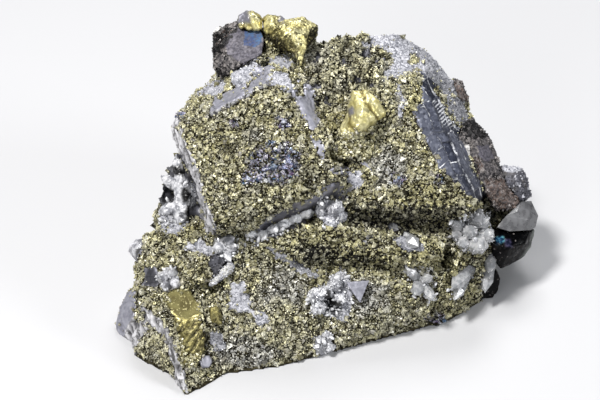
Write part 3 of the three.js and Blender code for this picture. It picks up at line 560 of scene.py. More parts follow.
def put(tree, kind, sockets=None, **settings):
    """A node of one kind, with its settings made and its sockets set, or joined to other nodes."""
    made = tree.nodes.new(kind)
    for name, value in settings.items():
        setattr(made, name, value)
    join(tree, made, sockets or {})
    return made


def read(tree, name):
    """A value kept on the piece's own points."""
    return put(tree, "ShaderNodeAttribute", attribute_name=name).outputs["Fac"]


def places(tree):
    """Where on the piece each point of it lies."""
    return put(tree, "ShaderNodeTexCoord").outputs["Object"]


def mixed(tree, amount, first, second):
    """One colour laid over another."""
    return put(tree, "ShaderNodeMix", {0: amount, 6: first, 7: second}, data_type="RGBA").outputs[2]


def coated(tree, colour, *coats):
    """A colour with others laid over it in turn, each with its amount."""
    for amount, coat in coats:
        colour = mixed(tree, amount, colour, coat)
    return colour


def sums(tree, kind, first, second=0.0, third=0.0):
    """Arithmetic on values."""
    return put(tree, "ShaderNodeMath", {0: first, 1: second, 2: third}, operation=kind).outputs[0]


def strayed(tree, value, noise_value, amount):
    """A value that noise makes stray to both sides."""
    return sums(tree, "MULTIPLY_ADD", sums(tree, "SUBTRACT", noise_value, 0.5), amount, value)


def ramped(tree, value, low, high, first=0.0, last=1.0):
    """A value spread from one range to another."""
    sockets = {"Value": value, "From Min": low, "From Max": high, "To Min": first, "To Max": last}
    return put(tree, "ShaderNodeMapRange", sockets).outputs["Result"]


def noisy(tree, spot, scale, detail):
    """Soft noise, mostly between 0.3 and 0.7."""
    sockets = {"Vector": spot, "Scale": scale, "Detail": detail}
    return put(tree, "ShaderNodeTexNoise", sockets).outputs["Fac"]


def bumped(tree, height, strength, distance):
    """The normals that a height makes, with its distance in millimetres."""
    sockets = {"Height": height, "Strength": strength, "Distance": distance * MM}
    return put(tree, "ShaderNodeBump", sockets).outputs["Normal"]


def vectors(tree, kind, first, second):
    """Arithmetic on vectors."""
    return put(tree, "ShaderNodeVectorMath", {0: first, 1: second}, operation=kind).outputs


def scaled(tree, vector, length):
    """A vector made longer or shorter."""
    return put(tree, "ShaderNodeVectorMath", {0: vector, "Scale": length}, operation="SCALE").outputs[0]


def new_effect(name, inputs, outputs):
    """An empty shader group, the sockets it is given, and its output node. A vector's value is None."""
    group = bpy.data.node_groups.new(name, "ShaderNodeTree")
    for socket, value in inputs.items():
        kind = "NodeSocketVector" if value is None else "NodeSocketFloat"
        made = group.interface.new_socket(socket, in_out="INPUT", socket_type=kind)
        if value is not None:
            made.default_value = value
    for socket in outputs:
        group.interface.new_socket(socket, in_out="OUTPUT", socket_type="NodeSocketFloat")
    return group, put(group, "NodeGroupInput").outputs, put(group, "NodeGroupOutput")


def placed(tree, group, **sockets):
    """The outputs of a group placed in a material with values of its own."""
    return put(tree, "ShaderNodeGroup", sockets, node_tree=group).outputs


# Facets: a surface of small crystals, each with its own shade and its own tilt.
facets, given, result = new_effect("facets", {"Places": None, "Scale": 1500.0}, ("Shade", "Height"))
cells = put(facets, "ShaderNodeTexVoronoi", {"Vector": given["Places"], "Scale": given["Scale"]}).outputs
lean = vectors(facets, "SUBTRACT", cells["Color"], (0.5, 0.5, 0.5))[0]
away = vectors(facets, "SUBTRACT", given["Places"], cells["Position"])[0]
tilt = vectors(facets, "DOT_PRODUCT", lean, away)["Value"]
join(facets, result, {
    "Height": sums(facets, "MULTIPLY", tilt, given["Scale"]),
    "Shade": put(facets, "ShaderNodeSeparateColor", {"Color": cells["Color"]}).outputs[0],
})

# Ragged: sharpens a soft mask into an irregular edge.
ragged, given, result = new_effect("ragged", {"Places": None, "Mask": 0.0, "Scale": 900.0}, ("Mask",))
speckle = noisy(ragged, given["Places"], given["Scale"], 3.0)
join(ragged, result, {"Mask": ramped(ragged, strayed(ragged, given["Mask"], speckle, 1.2), 0.4, 0.6)})

# Splits: a net of fine wavering cracks.
splits, given, result = new_effect("splits", {"Places": None, "Scale": 420.0}, ("Mask",))
sway = put(splits, "ShaderNodeTexNoise", {"Vector": given["Places"], "Scale": 500.0, "Detail": 3.0})
sway = scaled(splits, sway.outputs["Color"], 1.6 * MM)
net = put(splits, "ShaderNodeTexVoronoi", {
    "Vector": vectors(splits, "ADD", given["Places"], sway)[0], "Scale": given["Scale"],
}, feature="DISTANCE_TO_EDGE").outputs["Distance"]
join(splits, result, {"Mask": ramped(splits, net, 0.0, 0.05, 1.0, 0.0)})


def torn(tree, spot, name, scale=900.0):
    """A kept value as a mask with an irregular edge."""
    return placed(tree, ragged, Places=spot, Mask=read(tree, name), Scale=scale)["Mask"]


galena, tree, shader = new_material("galena")
spot = places(tree)
edge = {name: torn(tree, spot, name) for name in LEVELS if name != "broken"}
grit = placed(tree, facets, Places=spot, Scale=1600.0)
coarse_grit = placed(tree, facets, Places=spot, Scale=600.0)
clouds = noisy(tree, spot, 260.0, 5.0)
veins = noisy(tree, spot, 900.0, 4.0)
# Broken ground: lighter on higher cleavage steps and darker on lower ones, as painted shade.
broken_grey = coated(
    tree, linear(62, 63, 70),
    (ramped(tree, read(tree, "step"), -0.6, 0.6), linear(156, 156, 166)),
    (ramped(tree, coarse_grit["Shade"], 0.4, 1.0, 0.0, 0.5), linear(104, 104, 114)),
    (ramped(tree, clouds, 0.5, 0.7, 0.0, 0.5), linear(112, 104, 88)),
)
# The dark ground between the crust grains is painted shade.
crust_gap_shade = mixed(tree, grit["Shade"], linear(17, 15, 8), linear(62, 57, 38))
bare_cracks = placed(tree, splits, Places=spot, Scale=300.0)["Mask"]
bare_grey = coated(
    tree, linear(136, 136, 146),
    (ramped(tree, veins, 0.35, 0.65), linear(166, 166, 176)),
    (sums(tree, "MULTIPLY", bare_cracks, ramped(tree, clouds, 0.45, 0.6, 0.0, 0.7)), linear(70, 70, 78)),
)
flaky_grey = coated(
    tree, linear(84, 83, 86),
    (ramped(tree, read(tree, "flake"), -0.4, 0.4), linear(186, 185, 188)),
    (ramped(tree, veins, 0.53, 0.61, 0.0, 0.7), linear(50, 49, 46)),
)
sugar_white = mixed(tree, grit["Shade"], linear(96, 98, 106), linear(190, 190, 196))

# The slate-blue face: each plate has its own shade, darker the lower it lies, as painted shade. Broken
# pale lines of painted highlight run along the plate edges, with a band of painted shade beside them.
to_edge = strayed(tree, read(tree, "plate_edge"), veins, 0.9)
rungs = sums(tree, "PINGPONG", read(tree, "slate_along"), 0.42)
rungs = ramped(tree, strayed(tree, rungs, veins, 0.8), 0.24, 0.3)
rungs = sums(tree, "MULTIPLY", rungs, read(tree, "ladder"))
line = sums(tree, "MAXIMUM", ramped(tree, to_edge, 0.0, 0.17, 1.0, 0.0), rungs)
line = sums(tree, "MULTIPLY", line, ramped(tree, clouds, 0.4, 0.56, 0.1, 1.0))
slate_grey = coated(
    tree, linear(40, 44, 58),
    (read(tree, "plate"), linear(92, 95, 108)),
    (ramped(tree, veins, 0.5, 0.75, 0.0, 0.4), linear(106, 109, 122)),
    (ramped(tree, grit["Shade"], 0.7, 1.0, 0.0, 0.5), linear(150, 153, 164)),
    (ramped(tree, grit["Shade"], 0.0, 0.3, 0.6, 0.0), linear(30, 32, 42)),
    (ramped(tree, to_edge, 0.1, 0.4, 0.6, 0.0), linear(28, 30, 40)),
    (line, linear(226, 227, 231)),
)

colour = coated(
    tree, broken_grey,
    (edge["crust"], crust_gap_shade),
    (edge["bare"], bare_grey),
    (edge["flaky"], flaky_grey),
    (edge["sugar"], sugar_white),
    (edge["slate"], slate_grey),
    # darker on dull ground and in painted shade
    (sums(tree, "MULTIPLY", read(tree, "dull"), 0.85), linear(20, 20, 23)),
    # painted glints: some of the grains sown on the galena crystals are lightened
    (ramped(tree, read(tree, "chance"), 0.7, 1.0, 0.0, 0.9), linear(190, 190, 196)),
)
pale = sums(tree, "MAXIMUM", edge["sugar"], edge["flaky"])
shine = sums(tree, "MULTIPLY_ADD", clouds, 0.3, 0.36)
shine = sums(tree, "MULTIPLY_ADD", read(tree, "dull"), 0.15, shine)
height = sums(tree, "MULTIPLY", grit["Height"], ramped(tree, edge["bare"], 0, 1, 0.5, 0.1))
height = sums(tree, "MULTIPLY", height, ramped(tree, edge["slate"], 0, 1, 1.0, 0.12))
join(tree, shader, {
    "Base Color": colour,
    "Metallic": ramped(tree, pale, 0, 1, 0.6, 0.1),
    "Roughness": sums(tree, "MULTIPLY_ADD", pale, 0.15, shine),
    "Specular IOR Level": 0.2,
    "Normal": bumped(tree, sums(tree, "MULTIPLY_ADD", veins, 0.4, height), 0.5, 0.25),
})

rock.data.materials.append(galena)
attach(rock, "root")
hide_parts("galena_mass")

# ---- the chalcopyrite crust ----
# Thousands of small brassy wedge-shaped crystals, grown side by side on the galena and fast to it. The
# larger ones, up to 2 mm, are half sunk among fine ones, and a film of tarnish turns some of them
# silver, blue or violet.

GRAIN_SHAPES = 9           # different crystals, each sown many times
CRUST_LAYERS = {           # how far apart they stand, their least, usual and greatest size, and their rise
    "": (0.7, (1.1, 1.5, 2.1), (-0.55, 0.05)),
    "_fine": (0.4, (0.4, 0.6, 1.0), (-0.1, 0.45)),
}
CRUST_MIDDLES = {          # across, up, out, in millimetres: each grain belongs to the nearest
    "crust_upper_left": (-18, 12, 10),
    "crust_middle": (2, 26, 4),
    "crust_right": (24, 6, 4),
    "crust_ledge": (6, -16, 6),
    "crust_lower_left": (-32, -26, 8),
    "crust_lower": (-4, -32, 4),
    "crust_lower_right": (30, -24, -6),
    "crust_back": (4, 20, -40),
}
STRAY_GRAINS = 0.03        # share of crystals that grow where there is no crust
THINNED = 0.4              # share that is missing where the crust is darkened, on dull ground and in painted shade
CROWDING = 1.6             # tries for each crystal that finds room
POINT_LEAN = 0.6           # how far upright crystals may lean, as a share of their length


def grain_shapes(name, count, seed, least=0.3, most=0.85):
    """A few small sharp crystals, a unit across, to be sown over a ground."""
    dice = random.Random(seed)
    store = bpy.data.collections.new(name)
    for number in range(count):
        shape = bmesh.new()
        bmesh.ops.create_uvsphere(shape, u_segments=4, v_segments=2, radius=1)
        for corner in shape.verts:
            corner.co *= dice.uniform(least, most)
        piece = new_piece(f"{name}_{number}", shape)
        bpy.context.collection.objects.unlink(piece)
        store.objects.link(piece)
    return store


def sow(name, ground, shapes, cover, habit, seed, material, upright=False):
    """Small crystals on a ground, one mesh, where the kept value called cover lets them grow.

    Their habit is how far apart they stand, their least, usual and greatest size, and the least and
    greatest distance that they're moved out of the ground, in millimetres. Each point of them keeps
    how far it stands out of the ground under the name stand.
    """
    spacing, sizes, (sunk, raised) = habit
    tree = bpy.data.node_groups.new(name, "GeometryNodeTree")
    for side in ("INPUT", "OUTPUT"):
        tree.interface.new_socket("Geometry", in_out=side, socket_type="NodeSocketGeometry")

    def drawn(shift, low, high):
        """A random number for each crystal."""
        sockets = {2: low, 3: high, "Seed": seed + shift}
        return put(tree, "FunctionNodeRandomValue", sockets, data_type="FLOAT").outputs[1]

    def drawn_way(shift, low, high):
        """A random vector for each crystal, its three numbers between the same two."""
        sockets = {0: (low,) * 3, 1: (high,) * 3, "Seed": seed + shift}
        return put(tree, "FunctionNodeRandomValue", sockets, data_type="FLOAT_VECTOR").outputs[0]

    def keep(geometry, name, value, kind, domain="POINT"):
        """Keeps a value under a name."""
        return put(tree, "GeometryNodeStoreNamedAttribute", {
            "Geometry": geometry, "Name": name, "Value": value}, data_type=kind, domain=domain).outputs[0]

    def kept(name, kind):
        """A value kept under a name."""
        return put(tree, "GeometryNodeInputNamedAttribute", {"Name": name}, data_type=kind).outputs[0]

    def position():
        """Where each point lies."""
        return put(tree, "GeometryNodeInputPosition").outputs[0]

    spots = put(tree, "GeometryNodeDistributePointsOnFaces", {
        "Mesh": put(tree, "NodeGroupInput").outputs[0], "Distance Min": spacing * MM,
        "Density Max": CROWDING / (spacing * MM) ** 2, "Density Factor": kept(cover, "FLOAT"), "Seed": seed,
    }, distribute_method="POISSON").outputs
    rooted = keep(spots["Points"], "stem", spots["Normal"], "FLOAT_VECTOR")
    rooted = keep(rooted, "spot", position(), "FLOAT_VECTOR")
    rise = scaled(tree, spots["Normal"], drawn(4, sunk * MM, raised * MM))
    lifted = put(tree, "GeometryNodeSetPosition", {"Geometry": rooted, "Offset": rise}).outputs[0]
    turn = drawn_way(1, 0.0, math.tau)
    if upright:
        way = vectors(tree, "ADD", spots["Normal"], drawn_way(1, -POINT_LEAN, POINT_LEAN))[0]
        turn = put(tree, "FunctionNodeAlignRotationToVector", {"Vector": way}, axis="Z").outputs[0]
    low, usual, high = (size * MM for size in sizes)
    size = put(tree, "ShaderNodeFloatCurve", {"Value": drawn(2, 0.0, 1.0)})
    for point, value in zip(size.mapping.curves[0].points, (low / high, 1.0)):
        point.location = (point.location[0], value)
    size.mapping.curves[0].points.new(0.8, usual / high)
    size.mapping.update()
    crystals = put(tree, "GeometryNodeCollectionInfo", {
        "Collection": shapes, "Separate Children": True, "Reset Children": True}).outputs[0]
    grown = put(tree, "GeometryNodeInstanceOnPoints", {
        "Points": lifted, "Instance": crystals, "Pick Instance": True,
        "Rotation": turn, "Scale": sums(tree, "MULTIPLY", size.outputs[0], high)}).outputs[0]
    grown = keep(grown, "chance", drawn(3, 0.0, 1.0), "FLOAT", "INSTANCE")
    whole = put(tree, "GeometryNodeRealizeInstances", {"Geometry": grown}).outputs[0]
    reach = vectors(tree, "SUBTRACT", position(), kept("spot", "FLOAT_VECTOR"))[0]
    along = vectors(tree, "DOT_PRODUCT", reach, kept("stem", "FLOAT_VECTOR"))["Value"]
    whole = keep(whole, "stand", sums(tree, "DIVIDE", along, MM), "FLOAT")
    for done_with in ("spot", "stem"):
        whole = put(tree, "GeometryNodeRemoveAttribute", {"Geometry": whole, "Name": done_with}).outputs[0]
    put(tree, "NodeGroupOutput", {0: whole})
    piece = bpy.data.objects.new(name, ground.data)
    bpy.context.collection.objects.link(piece)
    piece.modifiers.new("crystals", "NODES").node_group = tree
    settle(piece)
    piece.data.materials.clear()
    piece.data.materials.append(material)
    land = survey(piece)
    move_out(piece, land, np.zeros(len(land.at)))
    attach(piece, "root")


middles = np.array(list(CRUST_MIDDLES.values()))
spots = np.stack((land.across, land.up, land.out), axis=1)
nearest_middle = np.argmin(((spots[:, None, :] - middles[None]) ** 2).sum(2), axis=1)
clear = soft_step(gap, 0.25, 0.6) * soft_step(land.at[:, 2], 0.45, 0.9)
grows = kinds["crust"] * 1.1 + (kinds["bare"] + kinds["sugar"] + kinds["broken"]) * STRAY_GRAINS
grows = np.clip(grows, 0, 1) * clear
grows *= 1 - THINNED * tone["dull"]


def by_chance(tree, *colours):
    """One of a few colours for each small crystal."""
    ramp = put(tree, "ShaderNodeValToRGB", {"Fac": read(tree, "chance")})
    stops = ramp.color_ramp.elements
    while len(stops) < len(colours):
        stops.new(0.5)
    for number, (stop, colour) in enumerate(zip(stops, colours)):
        stop.position = number / (len(colours) - 1)
        stop.color = linear(*colour)
    return ramp.outputs["Color"]


brass, tree, shader = new_material("chalcopyrite_crust")
spot = places(tree)
film = noisy(tree, spot, 900.0, 3.0)
brasses = by_chance(
    tree, (136, 130, 88), (232, 228, 194), (186, 181, 140), (174, 170, 166), (220, 215, 174),
    (124, 119, 80), (242, 239, 214), (202, 196, 150), (252, 250, 234))
golds = by_chance(
    tree, (132, 125, 68), (222, 216, 168), (178, 170, 104), (208, 201, 146), (150, 141, 80),
    (236, 232, 196))
silvers = by_chance(tree, (116, 116, 122), (204, 204, 204), (150, 147, 142), (244, 244, 244))
blues = by_chance(
    tree, (22, 22, 38), (160, 160, 180), (104, 80, 118), (212, 212, 224), (66, 104, 142),
    (128, 128, 158), (210, 204, 158), (42, 46, 94), (250, 250, 252))
silver = sums(tree, "MULTIPLY_ADD", read(tree, "silver"), 0.75, sums(tree, "MULTIPLY", film, 0.3))
tarnished = sums(tree, "ADD", read(tree, "tarnish"), sums(tree, "MULTIPLY", film, 0.4))
colour = coated(
    tree, brasses,
    (ramped(tree, film, 0.44, 0.62, 0.0, 0.4), linear(168, 160, 114)),
    (sums(tree, "MULTIPLY", read(tree, "golden"), 0.6), golds),
    (ramped(tree, silver, 0.3, 1.0, 0.0, 0.9), silvers),
    (ramped(tree, tarnished, 0.45, 0.75), blues),
    # painted light over the lumpy part
    (sums(tree, "MULTIPLY", read(tree, "pale"), 0.35), linear(252, 248, 222)),
)
# Painted shade: each grain darkens toward its foot, where it stands low out of the ground, and more in the
# hollows and cracks.
shade = ramped(tree, sums(tree, "MULTIPLY_ADD", film, 0.4, read(tree, "stand")), 0.13, 0.38)
shade = sums(tree, "MULTIPLY", shade, ramped(tree, read(tree, "hollow"), 0.0, 1.0, 1.0, 0.2))
# darker on dull ground and in painted shade
shade = sums(tree, "MULTIPLY", shade, ramped(tree, read(tree, "dull"), 0.0, 1.0, 1.0, 0.45))
flecks = placed(tree, facets, Places=spot, Scale=4200.0)
join(tree, shader, {
    "Base Color": coated(
        tree, mixed(tree, shade, linear(14, 12, 6), colour),
        (ramped(tree, flecks["Shade"], 0.1, 0.5, 0.7, 0.0), linear(34, 31, 18)),
        (ramped(tree, flecks["Shade"], 0.75, 0.9, 0.0, 0.3), linear(250, 248, 228)),
    ),
    "Metallic": 0.5,
    "Roughness": ramped(tree, film, 0.3, 0.7, 0.34, 0.54),
    "Specular IOR Level": 0.15,
    "Normal": bumped(tree, flecks["Height"], 0.6, 0.2),
})

grains = grain_shapes("brass_grain", GRAIN_SHAPES, 11)
for number, name in enumerate(CRUST_MIDDLES):
    mark(rock, name, grows * (nearest_middle == number))
    for layer, habit in CRUST_LAYERS.items():
        sow(name + layer, rock, grains, name, habit, 20 + number, brass)

# ---- the sugary white ground ----
# Fine grains of quartz and bleached galena, white to grey and packed like sugar. They grew fast to the
# galena where the crust is missing.

SUGAR_SHAPES = 5
SUGAR_HABIT = (0.36, (0.3, 0.45, 0.75), (-0.1, 0.1))   # as in CRUST_LAYERS

sugars = {}
for finish, dark_colour, pale_colour in (
    ("sugary_quartz", linear(104, 105, 114), linear(200, 200, 206)),
    ("white_druse", linear(128, 129, 134), linear(236, 236, 239)),
):
    sugars[finish], tree, shader = new_material(finish)
    chance = read(tree, "chance")
    join(tree, shader, {
        "Base Color": coated(
            tree, dark_colour,
            (chance, pale_colour),
            # darker on dull ground and in painted shade
            (sums(tree, "MULTIPLY", read(tree, "dull"), 0.75), linear(58, 60, 58)),
        ),
        "Roughness": ramped(tree, chance, 0, 1, 0.5, 0.15),
        "IOR": 1.54,
    })
sugar_shapes = grain_shapes("sugar_grain", SUGAR_SHAPES, 12, 0.45, 0.75)
mark(rock, "sugar_grows", np.clip(kinds["sugar"], 0, 1) * clear * (1 - caves))
sow("sugary_grains", rock, sugar_shapes, "sugar_grows", SUGAR_HABIT, 60,
    sugars["sugary_quartz"])

# ---- quartz crystals ----
# Six-sided prisms with a point at one end, clear to milky, that grew last, in nests and along the seam.
# Each sits in a socket of its own in the galena. Some are coated with fine white grains, and small
# points stand close together on and round the large ones.

QUARTZ_BEDS = (            # where small crystals stand close together round the large ones
    ((-2.4, -1), (-1, 1), (3.6, 0), (5, -3.4), (3.6, -6.6), (0.8, -7.8), (-2, -5)),
    ((-20, -10.4), (-17, -9.4), (-11, -6.4), (-4.4, -2.2), (-4.8, -4.2), (-11, -8.4), (-17, -11.8),
     (-20, -11.8)),
    ((31, -4.4), (33, -12.4), (39, -13.6), (43, -10.6), (42.4, -4.6), (39.6, -1.4), (36, -3)),
    ((-27.4, -9.6), (-22, -8.2), (-20.4, -12.8), (-22.8, -16), (-26.6, -13)),
    ((-42, -18.4), (-38, -16), (-35.4, -21.2), (-39, -23)),
    ((19.6, -16.4), (27, -16.2), (28, -25.8), (25.6, -25), (21.4, -23.6)),
    ((-4, -22.6), (0.8, -21), (2, -19), (5.4, -16.4), (6.2, -21), (6.6, -27), (4, -29), (-3, -28.6)),
    ((-3, -35.8), (0.4, -32), (2, -35), (1, -38), (-2, -37.8)),
    ((30.8, -22.6), (36.8, -17), (37.2, -19.4), (33, -25.6)),
    ((39.8, -17.4), (42, -17.8), (41.4, -24.4), (39.6, -24)),
    ((-42, -6), (-36.6, -7), (-36.4, -1.6), (-39.6, 0)),
)
POINT_SHAPES = 6
POINT_WIDTHS = (0.25, 0.23)            # half widths at the foot and at the shoulder, for a length of 1
LONG_EDGE = 1.5 * MM                   # edges longer than this are cut in three
EDGE_WEAR = 0.06 * MM                  # how far the edges are worn off
ROUGH_SKIN = 0.3 * MM                  # faces of the rounded, rough pieces
DRUSE_HABIT = (0.45, (0.4, 0.65, 1.0), (-0.1, 0.1))
TUFT_HABIT = (0.8, (0.9, 1.3, 2.0), (-0.4, -0.1))
BED_HABIT = (0.6, (0.8, 1.3, 2.2), (-0.3, 0.0))

FINISHES = {               # clear, unless they are here
    "quartz_vein": "chalky_quartz", "quartz_nodule": "milky_quartz", "quartz_boxwork": "white_quartz",
    "quartz_seam": "bright_quartz", "quartz_pocket": "white_quartz", "quartz_bottom": "white_quartz",
    "quartz_junction": "white_quartz", "quartz_white": "milky_quartz", "quartz_flank": "smoky_quartz",
    "quartz_fan": "white_quartz",
}
ROUGH = {                  # rounded rough pieces, and the finish of the fine grains that coat them, if any
    "quartz_pocket": "white_druse", "quartz_bottom": "white_druse", "quartz_boxwork": None,
    "quartz_vein": "sugary_quartz", "quartz_junction": "sugary_quartz", "quartz_seam": None,
}
TUFTED = {                 # pieces with small points grown on them, and how closely, 0 to 1
    "quartz_nest": 0.22, "quartz_fan": 0.35, "quartz_white": 0.5, "quartz_spray": 0.2,
    "quartz_junction": 0.3, "quartz_pocket": 0.35, "quartz_bottom": 0.3,
}


def nodes_of(mineral):
    """The names of the CAD's crystals of one mineral, in order."""
    return sorted(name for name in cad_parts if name.startswith(mineral) and name != "galena_mass")


shape = bmesh.new()
shape.from_mesh(rock.data)
rock_near = finder(shape)


def standing(piece):
    """How far each point of a piece stands out of the rock, in millimetres."""
    heights = []
    for corner in piece.data.vertices:
        ground, normal, _, _ = rock_near.find_nearest(corner.co)
        heights.append((corner.co - ground).dot(normal) / MM)
    return np.array(heights)


quartz_finishes = {}
for finish, low_colour, high_colour, through, rough in (
    ("clear_quartz", linear(190, 192, 196), linear(246, 246, 247), 0.6, 0.06),
    ("milky_quartz", linear(124, 124, 130), linear(206, 206, 210), 0.15, 0.1),
    ("white_quartz", linear(138, 139, 145), linear(214, 214, 217), 0.1, 0.14),
    ("chalky_quartz", linear(112, 111, 106), linear(200, 199, 195), 0.0, 0.5),
    # bright_quartz is white quartz lightened as painted light, for the seam that lies in shade under an
    # overhang; the small points are given it too.
    ("bright_quartz", linear(204, 205, 209), linear(250, 250, 252), 0.1, 0.14),
    ("smoky_quartz", linear(84, 84, 86), linear(98, 98, 100), 0.05, 0.2),
):
    quartz_finishes[finish], tree, shader = new_material(finish)
    milk = noisy(tree, places(tree), 700.0, 4.0)
    # Painted shade: each crystal darkens toward its root where it meets the rock, and is black inside the
    # holes.
    root = mixed(tree, 0.45, linear(24, 24, 26), low_colour)
    body = mixed(tree, ramped(tree, milk, 0.4, 0.6), low_colour, high_colour)
    join(tree, shader, {
        "Base Color": coated(
            tree, root,
            (ramped(tree, read(tree, "stand"), 0.0, 1.0), body),
            (read(tree, "cave"), linear(14, 13, 12)),
        ),
        "Roughness": ramped(tree, milk, 0.35, 0.65, rough, rough + 0.24),
        "IOR": 1.544,
        "Transmission Weight": through,
        "Normal": bumped(tree, milk, 0.25, 0.3),
    })

dice = random.Random(15)
points = bpy.data.collections.new("quartz_points")
for number in range(POINT_SHAPES):
    shape = bmesh.new()
    for height, radius in zip((0, dice.uniform(0.5, 0.64)), POINT_WIDTHS):
        for side in range(6):
            angle = math.tau * side / 6
            uneven = height * dice.uniform(0.94, 1.06)
            shape.verts.new((radius * math.cos(angle), radius * math.sin(angle), uneven))
    shape.verts.new((dice.uniform(-0.05, 0.05), dice.uniform(-0.05, 0.05), 0.95))
    bmesh.ops.convex_hull(shape, input=shape.verts)
    bmesh.ops.recalc_face_normals(shape, faces=shape.faces)
    piece = new_piece(f"quartz_point_{number}", shape)
    bpy.context.collection.objects.unlink(piece)
    points.objects.link(piece)

for node in nodes_of("quartz"):
    shape = solid_copy([node])
    long_edges = [e for e in shape.edges if e.calc_length() > LONG_EDGE]
    bmesh.ops.subdivide_edges(shape, edges=long_edges, cuts=2)
    bmesh.ops.triangulate(shape, faces=shape.faces)
    sharp = [e for e in shape.edges if len(e.link_faces) == 2 and e.calc_face_angle() > 0.25]
    bmesh.ops.bevel(shape, geom=sharp, offset=EDGE_WEAR, offset_type="OFFSET", segments=1, profile=0.5,
                    affect="EDGES", material=-1, clamp_overlap=True)
    crystal = new_piece(node + "_crystals", shape)
    if node in ROUGH:
        even_skin(crystal, ROUGH_SKIN)
        land = survey(crystal)
        move_out(crystal, land, 0.2 + 0.45 * lumps(land, 1.3, 51))
    crystal.data.materials.append(quartz_finishes[FINISHES.get(node, "clear_quartz")])
    land = survey(crystal)
    prepare(land)
    caves = inside_any(land, CAVES, stray=0.4)
    mark(crystal, "cave", caves)
    stand = standing(crystal)
    mark(crystal, "stand", stand / max(np.percentile(stand, 60), 0.2))
    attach(crystal, "root")
    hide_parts(node)
    if ROUGH.get(node):
        mark(crystal, "drusy", soft_step(stand, -0.2, 0.2) * (1 - caves))
        sow(node + "_druse", crystal, sugar_shapes, "drusy", DRUSE_HABIT, 72,
            sugars[ROUGH[node]])
    if node in TUFTED:
        mark(crystal, "tufted", TUFTED[node] * soft_step(stand, 0.3, 0.8) * (1 - caves))
        sow(node + "_points", crystal, points, "tufted", TUFT_HABIT, 74,
            quartz_finishes["bright_quartz"], upright=True)

land = survey(rock)
prepare(land)
beds = inside_any(land, QUARTZ_BEDS, soft=0.3, stray=0.5)
mark(rock, "quartz_grows", beds * soft_step(land.facing, 0.0, 0.3) * soft_step(gap, 0.02, 0.2))
sow("quartz_bed", rock, points, "quartz_grows", BED_HABIT, 70,
    quartz_finishes["bright_quartz"], upright=True)

# ---- chalcopyrite crystals ----
# The few large crystals: pale brass, their faces wavy with growth lines, with painted shade in the
# valleys of the waves, on the sides turned away from the light and in black gaps. The one at the corner
# has a flat satin face on top and a striped column below it. Each sits in its own socket in the galena.

BRASS_SKIN = 0.25 * MM
OVERGROWTH_HABIT = (0.45, (0.6, 0.9, 1.3), (-0.1, 0.25))

OLIVE = (                  # the flat satin face
    ((-41.4, -24.4), (-38, -21.4), (-33.6, -21.6), (-31.2, -24.4), (-30.6, -27.8), (-33.8, -29.4),
     (-37.2, -28.2), (-39.6, -26.2)),
)
GOLD_SHADE = (             # darker gold: partly duller gold, partly painted shade where the faces turn away from the light
    ((-29.2, -26.2), (-25, -26.2), (-25, -30.6), (-29.2, -30.6)),
    ((-14.6, 43.6), (-11.6, 43.2), (-8.8, 40.6), (-6, 37.4), (-8, 34.6), (-14.6, 36)),
    ((-4, 42.4), (-1.6, 42.6), (-2.6, 38.4), (-5, 37), (-4.6, 39.6)),
    ((1.6, 15.2), (10.8, 15.8), (11, 12), (4, 9.8), (1.6, 11)),
    ((8.6, 17.4), (13, 19.6), (13.6, 17.6), (9, 15.4)),
    ((-38.6, -27.6), (-34.6, -30), (-30.2, -28.6), (-28.2, -31), (-28.2, -37), (-31, -41), (-35.4, -41.8),
     (-37.4, -36)),
)
OVERGROWN = (              # where crust has grown over the crystals
    ((-41.8, -24.4), (-39, -22), (-38, -23.6), (-39.4, -26.4), (-41, -26.6)),
    ((-38.4, -20.6), (-32, -20.6), (-32, -22), (-38.4, -22.4)),
    ((-31.6, -23), (-29.6, -24), (-29.6, -29), (-31.2, -28.4)),
    ((-38.6, -28), (-37, -29.4), (-34.8, -35), (-33.4, -42), (-37, -42), (-38.6, -34)),
    ((-34.6, -42), (-34, -38.6), (-31.4, -37.4), (-28, -38), (-28.4, -42)),
    ((-31, -26), (-29, -26), (-28.6, -33), (-30.4, -31.4)),
    ((1.4, 15.6), (5.6, 16.6), (8, 17), (11.6, 17), (11.8, 11), (6, 9.6), (1.4, 10.4)),
    ((2, 16.6), (4, 17.6), (7, 15.8), (10, 17.8), (13, 18.6), (12, 15), (2, 14)),
)
GREY_SPOTS = (             # bits of galena grown in
    ((5.6, 22.6), (7.2, 22.8), (7.6, 21.2), (6.2, 20.6)),
    ((-21.8, 47.4), (-19.2, 47.8), (-18.8, 44.4), (-21.8, 44.4)),
    ((-11.4, 46.4), (-10, 46), (-10.4, 44.4), (-12, 44.8)),
)
CREVICES = (               # black gaps between and beside the crystals: painted shade
    ((-14, 40.6), (-11.6, 41.2), (-10, 38.8), (-8.8, 36.4), (-12.6, 36.6)),
    ((-3.4, 43.4), (-1.4, 43.4), (-1.2, 40.4), (-3.2, 38.4), (-4.8, 38), (-4.6, 39.6)),
    ((1, 15.6), (3.6, 16.6), (4.6, 14.8), (8, 15.8), (9.6, 15), (4, 14), (1.6, 14)),
    ((-30.8, -28.6), (-28.8, -30), (-28.6, -35), (-30.2, -33)),
)
USUAL_FOLDS = (1.5, 0.5, 1.0, 0.25)
FOLDS = {                  # how fast growth waves run across and up, their strength, and how lumpy it is
    "chalcopyrite_corner": (2.9, -2.4, 0.7, 0.25),
    "chalcopyrite_crest": (1.0, -1.2, 0.3, 0.34),
    "chalcopyrite_centre": (1.15, 0.5, 1.1, 0.2),
}
PITTED = {"chalcopyrite_crest": 0.8, "chalcopyrite_centre": 0.2}   # how pitted, or else USUAL_PITTED
USUAL_PITTED = 0.6


def marked(piece, land, marks):
    """Keeps how far each point of a piece is inside the outlines of each name."""
    prepare(land)
    for name, outlines in marks.items():
        mark(piece, name, inside_any(land, outlines, stray=0.4))


